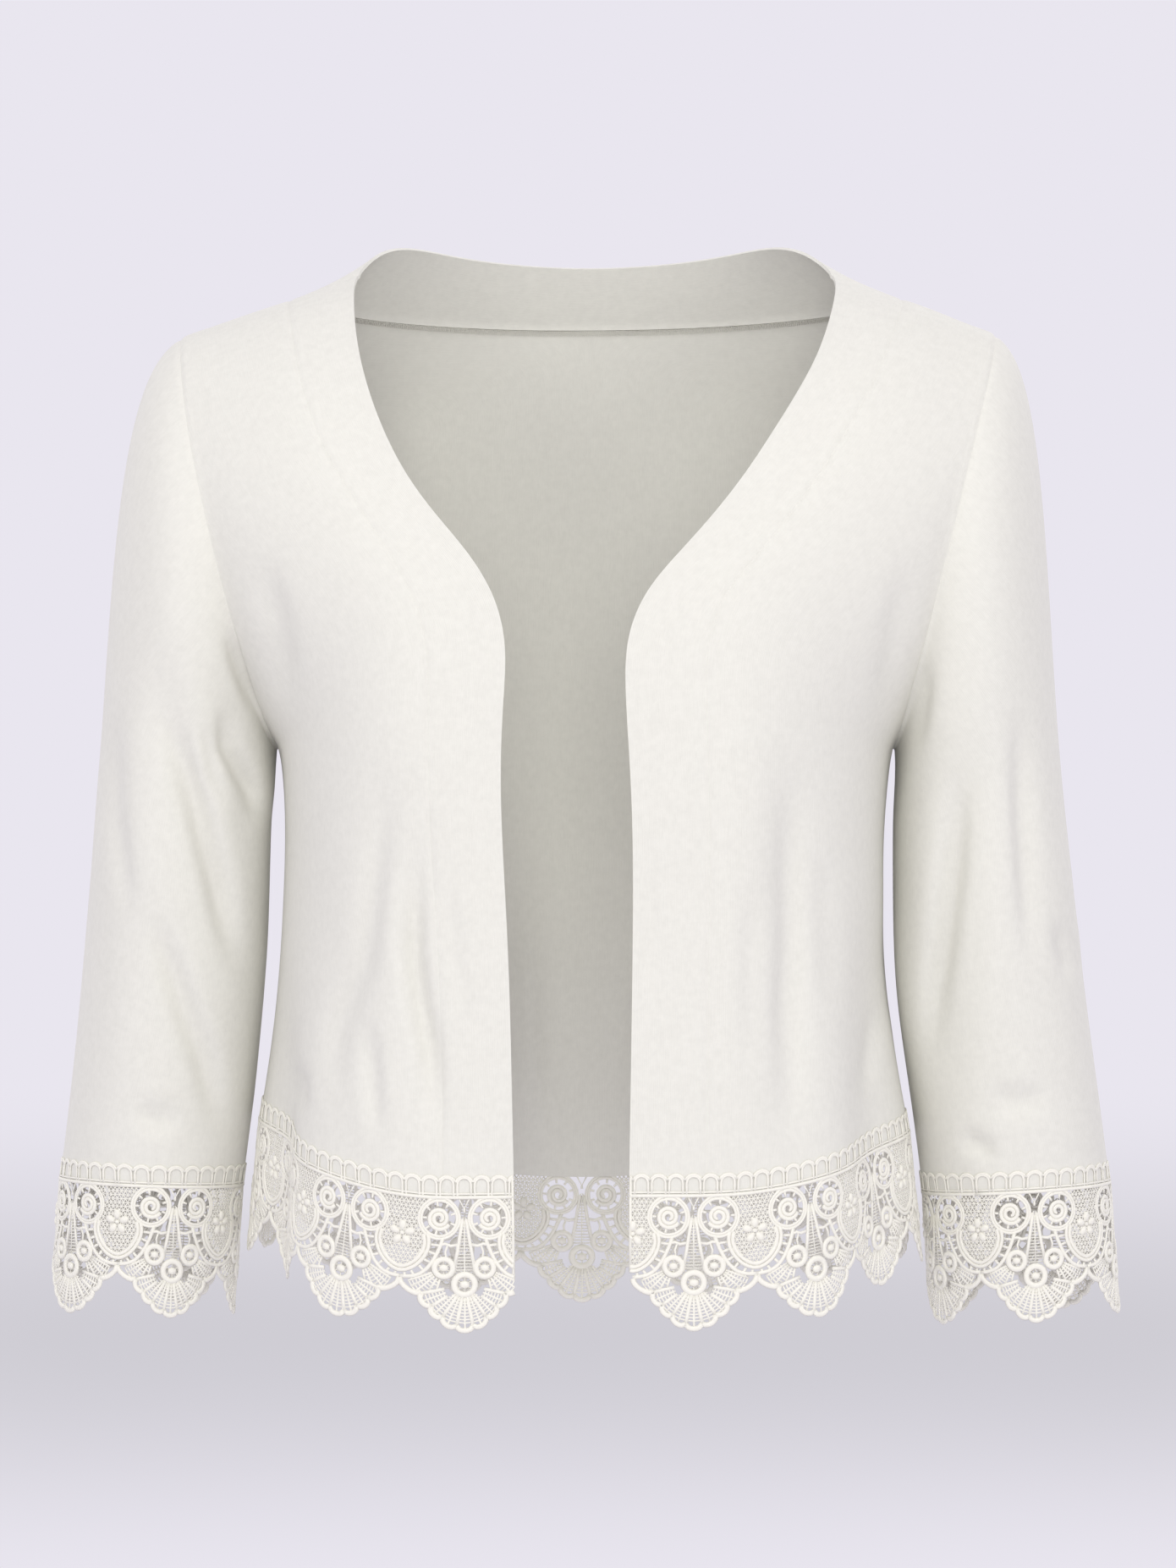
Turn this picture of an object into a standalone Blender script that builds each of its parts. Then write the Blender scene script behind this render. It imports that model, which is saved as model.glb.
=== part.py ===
"""Bolero jacket: a cropped, open-fronted jersey jacket with three-quarter sleeves and a lace trim.

The jacket keeps the hollow shape it has on a wearer. +X is to the viewer's right, the opening faces -Y,
+Z is up, and the origin is where the shoulders carry it: midway between the neck ends of its shoulder seams.
Every panel is a wall of cloth lofted between its own seam lines. Panels that meet share their seam points.
"""

import math
from collections import defaultdict, namedtuple

import bmesh
import bpy
from mathutils import Vector
from mathutils.geometry import interpolate_bezier
from mathutils.kdtree import KDTree

# Driving sizes, in metres
JERSEY_WALL = 0.0012
BAND_WALL = 0.0016
LACE_WALL = 0.0012
SEAM_GAP = 0.0003
HEADER_HEIGHT = 0.0115
VALLEY_DEPTH = 0.0385
HEM_REPEATS = 15
CUFF_REPEATS = 5
FRONT_LACE_REPEATS = 4
CUFF_FRONT_REPEATS = 3
FIRST_FAN_RIGHT = 0.0310
FIRST_FAN_LEFT = 0.0240

# How finely each stretch is divided
ROWS_BELOW_ARMHOLE = 8
ROWS_BESIDE_ARMHOLE = 12
ROWS_UP_TO_NECK = 6
PANEL_COLUMNS = 11
BAND_COLUMNS = 2
CAP_ROWS = 8
FOREARM_ROWS = 5

JERSEY_COLOUR = (0.80, 0.79, 0.75, 1.0)
LACE_COLOUR = (0.84, 0.83, 0.79, 1.0)
LEFT, RIGHT = -1, 1
DOWN = Vector((0, 0, -1))
# Where each cuff's lace starts, in repeats from the sleeve's inner side
CUFF_LACE_START = {LEFT: 0.500, RIGHT: 0.825}

Place = namedtuple("Place", "x y z")
RowShape = namedtuple("RowShape", "at leave arrive hold_in hold_out")
Ring = namedtuple("Ring", "z x_in x_out y_centre half_depth")
Fold = namedtuple("Fold", "x_top z_top x_foot z_foot spread depth face")
Flute = namedtuple("Flute", "x y spread depth")

# Free edge of the front band, from the hem up to the shoulder seam
OPENING = {
    LEFT: [
        Place(-0.0353, -0.118, -0.4620),
        Place(-0.0377, -0.122, -0.3538),
        Place(-0.0397, -0.123, -0.3132),
        Place(-0.0417, -0.124, -0.2727),
        Place(-0.0413, -0.124, -0.2322),
        Place(-0.0388, -0.123, -0.2050),
        Place(-0.0396, -0.120, -0.1855),
        Place(-0.0467, -0.117, -0.1672),
        Place(-0.0610, -0.112, -0.1467),
        Place(-0.0794, -0.105, -0.1261),
        Place(-0.0927, -0.096, -0.1053),
        Place(-0.1037, -0.083, -0.0801),
        Place(-0.1110, -0.064, -0.0560),
        Place(-0.1148, -0.040, -0.0335),
        Place(-0.1158, -0.021, -0.0185),
        Place(-0.1157, -0.009, -0.0122),
        Place(-0.1155, 0.000, -0.0106),
    ],
    RIGHT: [
        Place(0.0195, -0.118, -0.4615),
        Place(0.0211, -0.122, -0.3538),
        Place(0.0215, -0.123, -0.3132),
        Place(0.0209, -0.124, -0.2727),
        Place(0.0186, -0.124, -0.2322),
        Place(0.0169, -0.122, -0.2035),
        Place(0.0187, -0.120, -0.1876),
        Place(0.0244, -0.117, -0.1733),
        Place(0.0386, -0.113, -0.1569),
        Place(0.0558, -0.107, -0.1384),
        Place(0.0755, -0.099, -0.1136),
        Place(0.0942, -0.086, -0.0844),
        Place(0.1100, -0.066, -0.0580),
        Place(0.1190, -0.040, -0.0335),
        Place(0.1226, -0.021, -0.0185),
        Place(0.1234, -0.009, -0.0122),
        Place(0.1235, 0.000, -0.0106),
    ],
}

# Seam between the front band and the front panel, from the hem up to the shoulder seam
BAND_SEAM = {
    LEFT: [
        Place(-0.0700, -0.1180, -0.4625),
        Place(-0.0712, -0.1210, -0.4146),
        Place(-0.0728, -0.1230, -0.3538),
        Place(-0.0757, -0.1250, -0.3132),
        Place(-0.0777, -0.1270, -0.2727),
        Place(-0.0778, -0.1270, -0.2322),
        Place(-0.0782, -0.1250, -0.1998),
        Place(-0.0836, -0.1210, -0.1754),
        Place(-0.0975, -0.1140, -0.1509),
        Place(-0.1125, -0.1050, -0.1285),
        Place(-0.1305, -0.0900, -0.0990),
        Place(-0.1411, -0.0705, -0.0705),
        Place(-0.1470, -0.0450, -0.0440),
        Place(-0.1497, -0.0240, -0.0290),
        Place(-0.1511, -0.0100, -0.0232),
        Place(-0.1516, 0.0000, -0.0219),
    ],
    RIGHT: [
        Place(0.0572, -0.1180, -0.4615),
        Place(0.0580, -0.1210, -0.4146),
        Place(0.0588, -0.1230, -0.3538),
        Place(0.0592, -0.1250, -0.3132),
        Place(0.0593, -0.1270, -0.2727),
        Place(0.0581, -0.1270, -0.2322),
        Place(0.0582, -0.1250, -0.1958),
        Place(0.0633, -0.1210, -0.1754),
        Place(0.0772, -0.1160, -0.1591),
        Place(0.0957, -0.1080, -0.1374),
        Place(0.1185, -0.0935, -0.1060),
        Place(0.1377, -0.0725, -0.0735),
        Place(0.1510, -0.0460, -0.0450),
        Place(0.1570, -0.0240, -0.0285),
        Place(0.1594, -0.0100, -0.0225),
        Place(0.1600, 0.0000, -0.0211),
    ],
}

# Side seam, from the hem up to the underarm
SIDE_SEAM = {
    LEFT: [
        Place(-0.1620, 0.020, -0.4290),
        Place(-0.1560, 0.017, -0.3880),
        Place(-0.1515, 0.013, -0.3350),
        Place(-0.1500, 0.010, -0.2850),
        Place(-0.1530, 0.008, -0.2460),
    ],
    RIGHT: [
        Place(0.1580, 0.020, -0.4350),
        Place(0.1520, 0.017, -0.3900),
        Place(0.1475, 0.013, -0.3450),
        Place(0.1465, 0.010, -0.2900),
        Place(0.1510, 0.008, -0.2460),
    ],
}

# Armhole seams, from the underarm up to the shoulder point
ARMHOLE_FRONT = {
    LEFT: [
        Place(-0.1530, 0.008, -0.2460),
        Place(-0.1580, -0.018, -0.2385),
        Place(-0.1640, -0.041, -0.2190),
        Place(-0.1722, -0.058, -0.1903),
        Place(-0.1801, -0.066, -0.1575),
        Place(-0.1875, -0.066, -0.1245),
        Place(-0.1947, -0.054, -0.0905),
        Place(-0.1992, -0.034, -0.0605),
        Place(-0.2010, -0.015, -0.0440),
        Place(-0.2016, 0.000, -0.0387),
    ],
    RIGHT: [
        Place(0.1510, 0.008, -0.2460),
        Place(0.1545, -0.018, -0.2385),
        Place(0.1590, -0.041, -0.2190),
        Place(0.1656, -0.058, -0.1903),
        Place(0.1731, -0.066, -0.1575),
        Place(0.1811, -0.066, -0.1245),
        Place(0.1893, -0.054, -0.0905),
        Place(0.1970, -0.034, -0.0605),
        Place(0.2012, -0.015, -0.0430),
        Place(0.2024, 0.000, -0.0370),
    ],
}
ARMHOLE_BACK = {
    LEFT: [
        Place(-0.1530, 0.008, -0.2460),
        Place(-0.1575, 0.032, -0.2345),
        Place(-0.1640, 0.051, -0.2100),
        Place(-0.1720, 0.064, -0.1750),
        Place(-0.1800, 0.069, -0.1400),
        Place(-0.1880, 0.066, -0.1050),
        Place(-0.1950, 0.051, -0.0730),
        Place(-0.1995, 0.028, -0.0500),
        Place(-0.2011, 0.012, -0.0412),
        Place(-0.2016, 0.000, -0.0387),
    ],
    RIGHT: [
        Place(0.1510, 0.008, -0.2460),
        Place(0.1550, 0.032, -0.2345),
        Place(0.1615, 0.051, -0.2100),
        Place(0.1700, 0.064, -0.1750),
        Place(0.1790, 0.069, -0.1400),
        Place(0.1880, 0.066, -0.1050),
        Place(0.1960, 0.051, -0.0730),
        Place(0.2004, 0.028, -0.0490),
        Place(0.2019, 0.012, -0.0396),
        Place(0.2024, 0.000, -0.0370),
    ],
}

# Middle of the back, from the hem up to the neck seam
CENTRE_BACK = [
    Place(-0.0060, 0.111, -0.4645),
    Place(-0.0060, 0.110, -0.4000),
    Place(-0.0050, 0.105, -0.3300),
    Place(-0.0040, 0.102, -0.2700),
    Place(-0.0020, 0.106, -0.2000),
    Place(0.0000, 0.108, -0.1400),
    Place(0.0010, 0.103, -0.0800),
    Place(0.0020, 0.092, -0.0320),
]

# Seam between the back panel and the neck band, from the middle out to each shoulder seam
NECK_SEAM = {
    LEFT: [
        Place(0.0020, 0.092, -0.0320),
        Place(-0.0450, 0.088, -0.0315),
        Place(-0.0850, 0.077, -0.0300),
        Place(-0.1180, 0.054, -0.0272),
        Place(-0.1400, 0.027, -0.0240),
        Place(-0.1490, 0.010, -0.0223),
        Place(-0.1516, 0.000, -0.0219),
    ],
    RIGHT: [
        Place(0.0020, 0.092, -0.0320),
        Place(0.0480, 0.088, -0.0312),
        Place(0.0890, 0.077, -0.0292),
        Place(0.1240, 0.054, -0.0262),
        Place(0.1470, 0.027, -0.0232),
        Place(0.1570, 0.010, -0.0215),
        Place(0.1600, 0.000, -0.0211),
    ],
}

# Free edge of the neck band, from the middle out to each shoulder seam
NECK_EDGE = {
    LEFT: [
        Place(0.0020, 0.078, -0.0015),
        Place(-0.0407, 0.072, 0.0002),
        Place(-0.0747, 0.055, 0.0045),
        Place(-0.0974, 0.030, 0.0073),
        Place(-0.1080, 0.014, 0.0010),
        Place(-0.1138, 0.005, -0.0075),
        Place(-0.1155, 0.000, -0.0106),
    ],
    RIGHT: [
        Place(0.0020, 0.078, -0.0015),
        Place(0.0450, 0.072, 0.0006),
        Place(0.0789, 0.055, 0.0053),
        Place(0.0990, 0.030, 0.0073),
        Place(0.1125, 0.014, 0.0015),
        Place(0.1210, 0.005, -0.0075),
        Place(0.1235, 0.000, -0.0106),
    ],
}

# How a row of cloth leaves its inner seam and reaches its outer one. X is counted outwards from the middle.
# "at" is 0 at the hem, 1 at the underarm and 2 at the shoulder.
FRONT_ROWS = [
    RowShape(0.0, (1.00, 0.03, 0.00), (-0.08, 1.00, 0.00), 0.34, 0.42),
    RowShape(0.6, (1.00, 0.00, 0.00), (-0.08, 1.00, 0.00), 0.30, 0.44),
    RowShape(1.0, (1.00, 0.00, 0.00), (-0.02, 1.00, 0.00), 0.29, 0.44),
    RowShape(1.2, (1.00, 0.02, 0.00), (0.30, 0.95, 0.00), 0.30, 0.38),
    RowShape(1.5, (0.95, 0.15, -0.05), (0.62, 0.78, -0.05), 0.33, 0.33),
    RowShape(1.8, (0.95, 0.12, -0.20), (0.85, 0.40, -0.20), 0.33, 0.33),
    RowShape(2.0, (0.95, 0.00, -0.28), (0.95, 0.00, -0.34), 0.33, 0.33),
]
BACK_ROWS = [
    RowShape(0.0, (1.00, 0.00, 0.00), (0.05, -1.00, 0.00), 0.50, 0.34),
    RowShape(0.6, (1.00, 0.00, 0.00), (0.06, -1.00, 0.00), 0.48, 0.31),
    RowShape(1.0, (1.00, 0.00, 0.00), (0.02, -1.00, 0.00), 0.47, 0.29),
    RowShape(1.2, (1.00, 0.00, -0.08), (0.30, -0.95, 0.00), 0.46, 0.24),
    RowShape(1.5, (0.92, 0.02, -0.40), (0.70, -0.65, -0.15), 0.38, 0.30),
    RowShape(1.75, (0.70, 0.10, -0.70), (0.85, -0.35, -0.25), 0.33, 0.33),
    RowShape(2.0, (0.95, 0.00, -0.28), (0.95, 0.00, -0.34), 0.33, 0.33),
]

# Free rings of each sleeve below the armhole, down to its hem. X is counted outwards from the middle.
SLEEVE_RINGS = {
    LEFT: [
        Ring(-0.2850, 0.1572, 0.2452, 0.003, 0.0590),
        Ring(-0.3150, 0.1580, 0.2480, 0.005, 0.0575),
        Ring(-0.3570, 0.1600, 0.2520, 0.009, 0.0545),
        Ring(-0.3990, 0.1638, 0.2562, 0.014, 0.0515),
        Ring(-0.4400, 0.1692, 0.2612, 0.018, 0.0485),
        Ring(-0.4620, 0.1722, 0.2642, 0.020, 0.0475),
    ],
    RIGHT: [
        Ring(-0.2850, 0.1510, 0.2378, 0.003, 0.0590),
        Ring(-0.3150, 0.1510, 0.2415, 0.005, 0.0575),
        Ring(-0.3570, 0.1525, 0.2463, 0.009, 0.0545),
        Ring(-0.3990, 0.1575, 0.2522, 0.014, 0.0515),
        Ring(-0.4410, 0.1640, 0.2580, 0.018, 0.0485),
        Ring(-0.4650, 0.1668, 0.2612, 0.020, 0.0475),
    ],
}
SLEEVE_TILT = {LEFT: 0.035, RIGHT: 0.055}
# How far a sleeve's cap runs on in the shoulder's line, as a share of its length, over the top and below the arm
CAP_HOLD_TOP = {LEFT: 0.150, RIGHT: 0.122}
CAP_HOLD_UNDERARM = 0.30
CAP_FALL = 0.38
# The way the cloth leaves the armhole: how far outwards and down, under the arm and over the shoulder
CAP_OUT = (0.12, 0.97)
CAP_DOWN = (1.00, 0.28)
CAP_ASIDE = 0.30

# The largest folds, as troughs that run between two places; "face" is -1 on the front and 1 on the back
FOLDS = [
    Fold(-0.2096, -0.205, -0.1740, -0.365, 0.009, 0.0081, -1),
    Fold(-0.2160, -0.320, -0.1830, -0.440, 0.009, 0.0061, -1),
    Fold(-0.1800, -0.200, -0.1640, -0.290, 0.008, 0.0054, -1),
    Fold(0.1870, -0.240, 0.1720, -0.410, 0.009, 0.0074, -1),
    Fold(0.2130, -0.220, 0.2220, -0.360, 0.009, 0.0054, -1),
    Fold(-0.0950, -0.250, -0.1240, -0.410, 0.009, 0.0047, -1),
    Fold(-0.0830, -0.270, -0.0760, -0.445, 0.009, 0.0054, -1),
    Fold(0.0990, -0.245, 0.0980, -0.445, 0.009, 0.0068, -1),
    Fold(0.1420, -0.330, 0.1390, -0.430, 0.009, 0.0041, -1),
    Fold(-0.2050, -0.210, -0.1800, -0.380, 0.009, 0.0074, 1),
    Fold(-0.2350, -0.260, -0.2150, -0.420, 0.009, 0.0054, 1),
    Fold(0.2010, -0.220, 0.1760, -0.390, 0.009, 0.0074, 1),
    Fold(0.2300, -0.300, 0.2120, -0.430, 0.009, 0.0054, 1),
    Fold(-0.0800, -0.260, -0.0950, -0.450, 0.011, 0.0061, 1),
    Fold(-0.0300, -0.320, -0.0280, -0.455, 0.010, 0.0041, 1),
    Fold(0.0650, -0.270, 0.0850, -0.450, 0.011, 0.0061, 1),
]

# Flutes of the flared hem: outward where the depth is positive, inward where it is negative
FLUTES = [
    Flute(-0.1370, -0.088, 0.016, 0.0045),
    Flute(-0.1520, -0.046, 0.013, -0.0100),
    Flute(-0.1630, 0.004, 0.016, 0.0015),
    Flute(0.1180, -0.095, 0.018, 0.0030),
    Flute(0.1380, -0.058, 0.014, -0.0070),
    Flute(0.1540, -0.012, 0.016, 0.0025),
    Flute(-0.1100, 0.090, 0.018, 0.0055),
    Flute(-0.0560, 0.104, 0.018, -0.0065),
    Flute(0.0480, 0.104, 0.018, -0.0065),
    Flute(0.1060, 0.090, 0.018, 0.0055),
]
FLUTES_START = -0.330
FLUTES_FULL = -0.455
FLUTE_REACH = 3.0
# The body's cloth ends nearer the middle than this, and above or beyond these lines folds press straight back
BODY_HALF_WIDTH = 0.1640
STRAIGHT_FOLDS_BEYOND = 0.1650
STRAIGHT_FOLDS_ABOVE = -0.240
# The body is an oval, so its outward direction leans this much less sideways than a circle's
OVAL_LEAN_FOLDS = 0.35
OVAL_LEAN_FLUTES = 0.80
# A fold fades out over this share of its length, and runs on past its ends by the other
FOLD_FADE = 0.35
FOLD_RUN_ON = 0.10

# How much the lace below its header turns from the cloth's own slope to the plumb line
LACE_PLUMB = 0.80
LACE_CLEARANCE = 0.00005

# Flat pattern of one repeat of the lace, from the middle of its fan and the lower edge of its header
FAN_CENTRE_DROP = 0.0410
PETAL_TURN = math.radians(22)
PETALS_EACH_SIDE = 3
PETAL_STEPS = 3
FAN_RADIUS_SIDE = 0.0213
FAN_RADIUS_SHOULDER = 0.0187
FAN_RADIUS_TIP = 0.0226
PETAL_HEIGHT = 0.0024
END_PETAL_HEIGHT = 0.0016
LACE_GAPS = [
    [(-0.0029, -0.0012), (0.0029, -0.0012), (0.0000, -0.0062)],
    [(-0.0115, -0.0170), (-0.0036, -0.0168), (-0.0064, -0.0226)],
    [(-0.0110, -0.0268), (-0.0112, -0.0232), (-0.0066, -0.0240), (-0.0064, -0.0282)],
]


class SeamLine:
    """A smooth line through a table of places, read by the share of its length."""

    STEPS_PER_SPAN = 24

    def __init__(self, places):
        points = [Vector(p) for p in places]
        knots = [0.0]
        for a, b in zip(points, points[1:]):
            knots.append(knots[-1] + (b - a).length)
        slopes = [self._slope(points, knots, i) for i in range(len(points))]
        self.points = [points[0]]
        for i in range(len(points) - 1):
            third = (knots[i + 1] - knots[i]) / 3
            handles = (points[i] + slopes[i] * third, points[i + 1] - slopes[i + 1] * third)
            span = interpolate_bezier(points[i], *handles, points[i + 1], self.STEPS_PER_SPAN)
            self.points += span[1:]
        self.reach = [0.0]
        for a, b in zip(self.points, self.points[1:]):
            self.reach.append(self.reach[-1] + (b - a).length)
        self.length = self.reach[-1]

    @staticmethod
    def _slope(points, knots, i):
        before, after = max(i - 1, 0), min(i + 1, len(points) - 1)
        return (points[after] - points[before]) / (knots[after] - knots[before])

    def at(self, share):
        wanted = min(max(share, 0.0), 1.0) * self.length
        for i in range(1, len(self.reach)):
            if self.reach[i] >= wanted:
                part = (wanted - self.reach[i - 1]) / (self.reach[i] - self.reach[i - 1])
                return self.points[i - 1].lerp(self.points[i], part)
        return self.points[-1].copy()

    def share_at_height(self, height):
        for i, point in enumerate(self.points):
            if point.z >= height:
                return self.reach[i] / self.length
        return 1.0


class Sheet:
    """An open surface of cloth: its points, and the faces between them, seen from outside."""

    def __init__(self):
        self.points = []
        self.faces = []
        self.number = {}

    def point(self, place):
        key = key_of(place)
        if key not in self.number:
            self.number[key] = len(self.points)
            self.points.append(place.copy())
        return self.number[key]

    def add_rows(self, rows, turned):
        for low, high in zip(rows, rows[1:]):
            for j in range(len(low) - 1):
                ring = [low[j], low[j + 1], high[j + 1], high[j]]
                for corners in halves(ring):
                    face = list(dict.fromkeys(self.point(p) for p in corners))
                    if len(face) == 3:
                        self.faces.append(face[::-1] if turned else face)


def halves(ring):
    """A four-cornered patch of cloth as two triangles, folded along its shorter diagonal."""
    a, b, c, d = ring
    if (a - c).length < (b - d).length:
        return (a, b, c), (a, c, d)
    return (a, b, d), (b, c, d)


def key_of(place):
    return tuple(round(c, 5) for c in place)


def smooth_step(value):
    value = min(max(value, 0.0), 1.0)
    return value * value * (3 - 2 * value)


def shape_at(table, at):
    """The row shape between the two nearest entries of a table."""
    for low, high in zip(table, table[1:]):
        if at <= high.at:
            part = (at - low.at) / (high.at - low.at)
            mix = [Vector(a).lerp(Vector(b), part) for a, b in ((low.leave, high.leave), (low.arrive, high.arrive))]
            holds = [a + (b - a) * part for a, b in ((low.hold_in, high.hold_in), (low.hold_out, high.hold_out))]
            return (*mix, *holds)
    last = table[-1]
    return Vector(last.leave), Vector(last.arrive), last.hold_in, last.hold_out


def row_between(inner, outer, table, at, side, columns):
    """The points of one row of cloth, bowed from its inner seam to its outer one."""
    leave, arrive, hold_in, hold_out = shape_at(table, at)
    leave.x *= side
    arrive.x *= side
    span = (outer - inner).length
    first = inner + leave.normalized() * span * hold_in
    second = outer - arrive.normalized() * span * hold_out
    return interpolate_bezier(inner, first, second, outer, columns + 1)


def low_shares(line, top_share):
    """Shares of a line from the hem up to the underarm; the first row is as high as the lace header."""
    header = HEADER_HEIGHT / line.length
    steps = ROWS_BELOW_ARMHOLE - 1
    return [0.0] + [header + (top_share - header) * i / steps for i in range(steps + 1)]


def row_places():
    """Each row's place on the 0, 1, 2 scale of hem, underarm and shoulder."""
    low = [i / ROWS_BELOW_ARMHOLE for i in range(ROWS_BELOW_ARMHOLE + 1)]
    high = [1 + i / ROWS_BESIDE_ARMHOLE for i in range(1, ROWS_BESIDE_ARMHOLE + 1)]
    return low + high


def even(start, end, count):
    return [start + (end - start) * i / count for i in range(1, count + 1)]


def front_inner_shares(line, side):
    underarm = line.share_at_height(SIDE_SEAM[side][-1].z)
    return low_shares(line, underarm) + even(underarm, 1.0, ROWS_BESIDE_ARMHOLE)


def outer_points(side, armhole, armhole_shares):
    """The outer seam of a panel: the side seam, then the armhole."""
    seam = SeamLine(SIDE_SEAM[side])
    hole = SeamLine(armhole[side])
    low = [seam.at(s) for s in low_shares(seam, 1.0)]
    return low + [hole.at(s) for s in armhole_shares]


FRONT_ARMHOLE_SHARES = even(0.0, 1.0, ROWS_BESIDE_ARMHOLE)
NECK_ROW_SHARE = 0.62
BACK_ARMHOLE_SHARES = even(0.0, NECK_ROW_SHARE, ROWS_UP_TO_NECK) + even(
    NECK_ROW_SHARE, 1.0, ROWS_BESIDE_ARMHOLE - ROWS_UP_TO_NECK
)


def draped(point):
    """A point of cloth, moved by the folds and flutes that pass it, towards or away from the inside."""
    face = -1 if point.y < 0 else 1
    outward = Vector((point.x * OVAL_LEAN_FOLDS, point.y, 0)).normalized()
    if abs(point.x) > STRAIGHT_FOLDS_BEYOND or point.z > STRAIGHT_FOLDS_ABOVE:
        outward = Vector((0, face, 0))
    shift = 0.0
    for fold in FOLDS:
        if fold.face == face:
            shift -= fold.depth * trough(point, fold)
    fall = smooth_step((FLUTES_START - point.z) / (FLUTES_START - FLUTES_FULL))
    if fall > 0 and abs(point.x) < BODY_HALF_WIDTH:
        for flute in FLUTES:
            away = math.hypot(point.x - flute.x, point.y - flute.y) / flute.spread
            if away < FLUTE_REACH:
                side_out = Vector((point.x * OVAL_LEAN_FLUTES, point.y, 0)).normalized()
                point = point + side_out * (flute.depth * fall * math.exp(-away * away / 2))
    return point + outward * shift


def trough(point, fold):
    """How much of a fold's depth a point has: all of it on the fold's line, fading out to its ends and sides."""
    top = Vector((fold.x_top, fold.z_top))
    foot = Vector((fold.x_foot, fold.z_foot))
    here = Vector((point.x, point.z))
    run = foot - top
    along = (here - top).dot(run) / run.length_squared
    from_top, from_foot = along + FOLD_RUN_ON, 1 + FOLD_RUN_ON - along
    if min(from_top, from_foot) < 0:
        return 0.0
    aside = (here - top - run * along).length / fold.spread
    ends = smooth_step(from_top / FOLD_FADE) * smooth_step(from_foot / FOLD_FADE)
    return ends * math.exp(-aside * aside / 2)


def front_rows(side):
    inner = SeamLine(BAND_SEAM[side])
    inner_points = [inner.at(s) for s in front_inner_shares(inner, side)]
    outer = outer_points(side, ARMHOLE_FRONT, FRONT_ARMHOLE_SHARES)
    return [
        row_between(a, b, FRONT_ROWS, at, side, PANEL_COLUMNS)
        for a, b, at in zip(inner_points, outer, row_places())
    ]


def band_rows(side):
    """Rows of the front band, from its free edge to its seam."""
    edge, seam = SeamLine(OPENING[side]), SeamLine(BAND_SEAM[side])
    edge_points = [edge.at(s) for s in front_inner_shares(edge, side)]
    seam_points = [seam.at(s) for s in front_inner_shares(seam, side)]
    shares = [j / BAND_COLUMNS for j in range(BAND_COLUMNS + 1)]
    return [[a.lerp(b, s) for s in shares] for a, b in zip(edge_points, seam_points)]


def back_rows(side):
    """Rows of one half of the back, from its middle line or neck seam out to the side seam or armhole."""
    middle, neck = SeamLine(CENTRE_BACK), SeamLine(NECK_SEAM[side])
    underarm = middle.share_at_height(SIDE_SEAM[side][-1].z)
    inner = [middle.at(s) for s in low_shares(middle, underarm) + even(underarm, 1.0, ROWS_UP_TO_NECK)]
    inner += [neck.at(s) for s in even(0.0, 1.0, ROWS_BESIDE_ARMHOLE - ROWS_UP_TO_NECK)]
    outer = outer_points(side, ARMHOLE_BACK, BACK_ARMHOLE_SHARES)
    return [
        row_between(a, b, BACK_ROWS, at, side, PANEL_COLUMNS)
        for a, b, at in zip(inner, outer, row_places())
    ]


def neck_band_rows():
    """Rows of the neck band, from its free edge to its seam, from one shoulder seam to the other."""
    rows = []
    shares = [0.0] + even(0.0, 1.0, ROWS_BESIDE_ARMHOLE - ROWS_UP_TO_NECK)
    for side, part in ((LEFT, shares[::-1]), (RIGHT, shares[1:])):
        edge, seam = SeamLine(NECK_EDGE[side]), SeamLine(NECK_SEAM[side])
        for share in part:
            across = [j / BAND_COLUMNS for j in range(BAND_COLUMNS + 1)]
            rows.append([edge.at(share).lerp(seam.at(share), s) for s in across])
    return rows


def armhole_loop(side):
    """The armhole from the underarm up its front to the shoulder, and down its back."""
    front, back = SeamLine(ARMHOLE_FRONT[side]), SeamLine(ARMHOLE_BACK[side])
    up = [front.at(s) for s in [0.0] + FRONT_ARMHOLE_SHARES]
    down = [back.at(s) for s in [0.0] + BACK_ARMHOLE_SHARES][::-1]
    return up + down[1:-1]


def ring_at(side, z):
    """A sleeve ring between the two nearest entries of its table."""
    table = SLEEVE_RINGS[side]
    line = SeamLine([Place(r.x_in, r.x_out, r.z) for r in table][::-1])
    line_depth = SeamLine([Place(r.y_centre, r.half_depth, r.z) for r in table][::-1])
    across = line.at(line.share_at_height(z))
    deep = line_depth.at(line_depth.share_at_height(z))
    return Ring(z, across.x, across.y, deep.x, deep.y)


def ring_points(side, ring, count):
    """A sleeve ring's points, from its inner side round its front, its outer side and its back."""
    half_width = (ring.x_out - ring.x_in) / 2
    middle = (ring.x_out + ring.x_in) / 2
    points = []
    for j in range(count):
        turn = 2 * math.pi * j / count
        out = -math.cos(turn) * half_width
        deep = -math.sin(turn) * ring.half_depth
        rise = SLEEVE_TILT[side] * out
        points.append(Vector((side * (middle + out), ring.y_centre + deep, ring.z + rise)))
    return points


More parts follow.
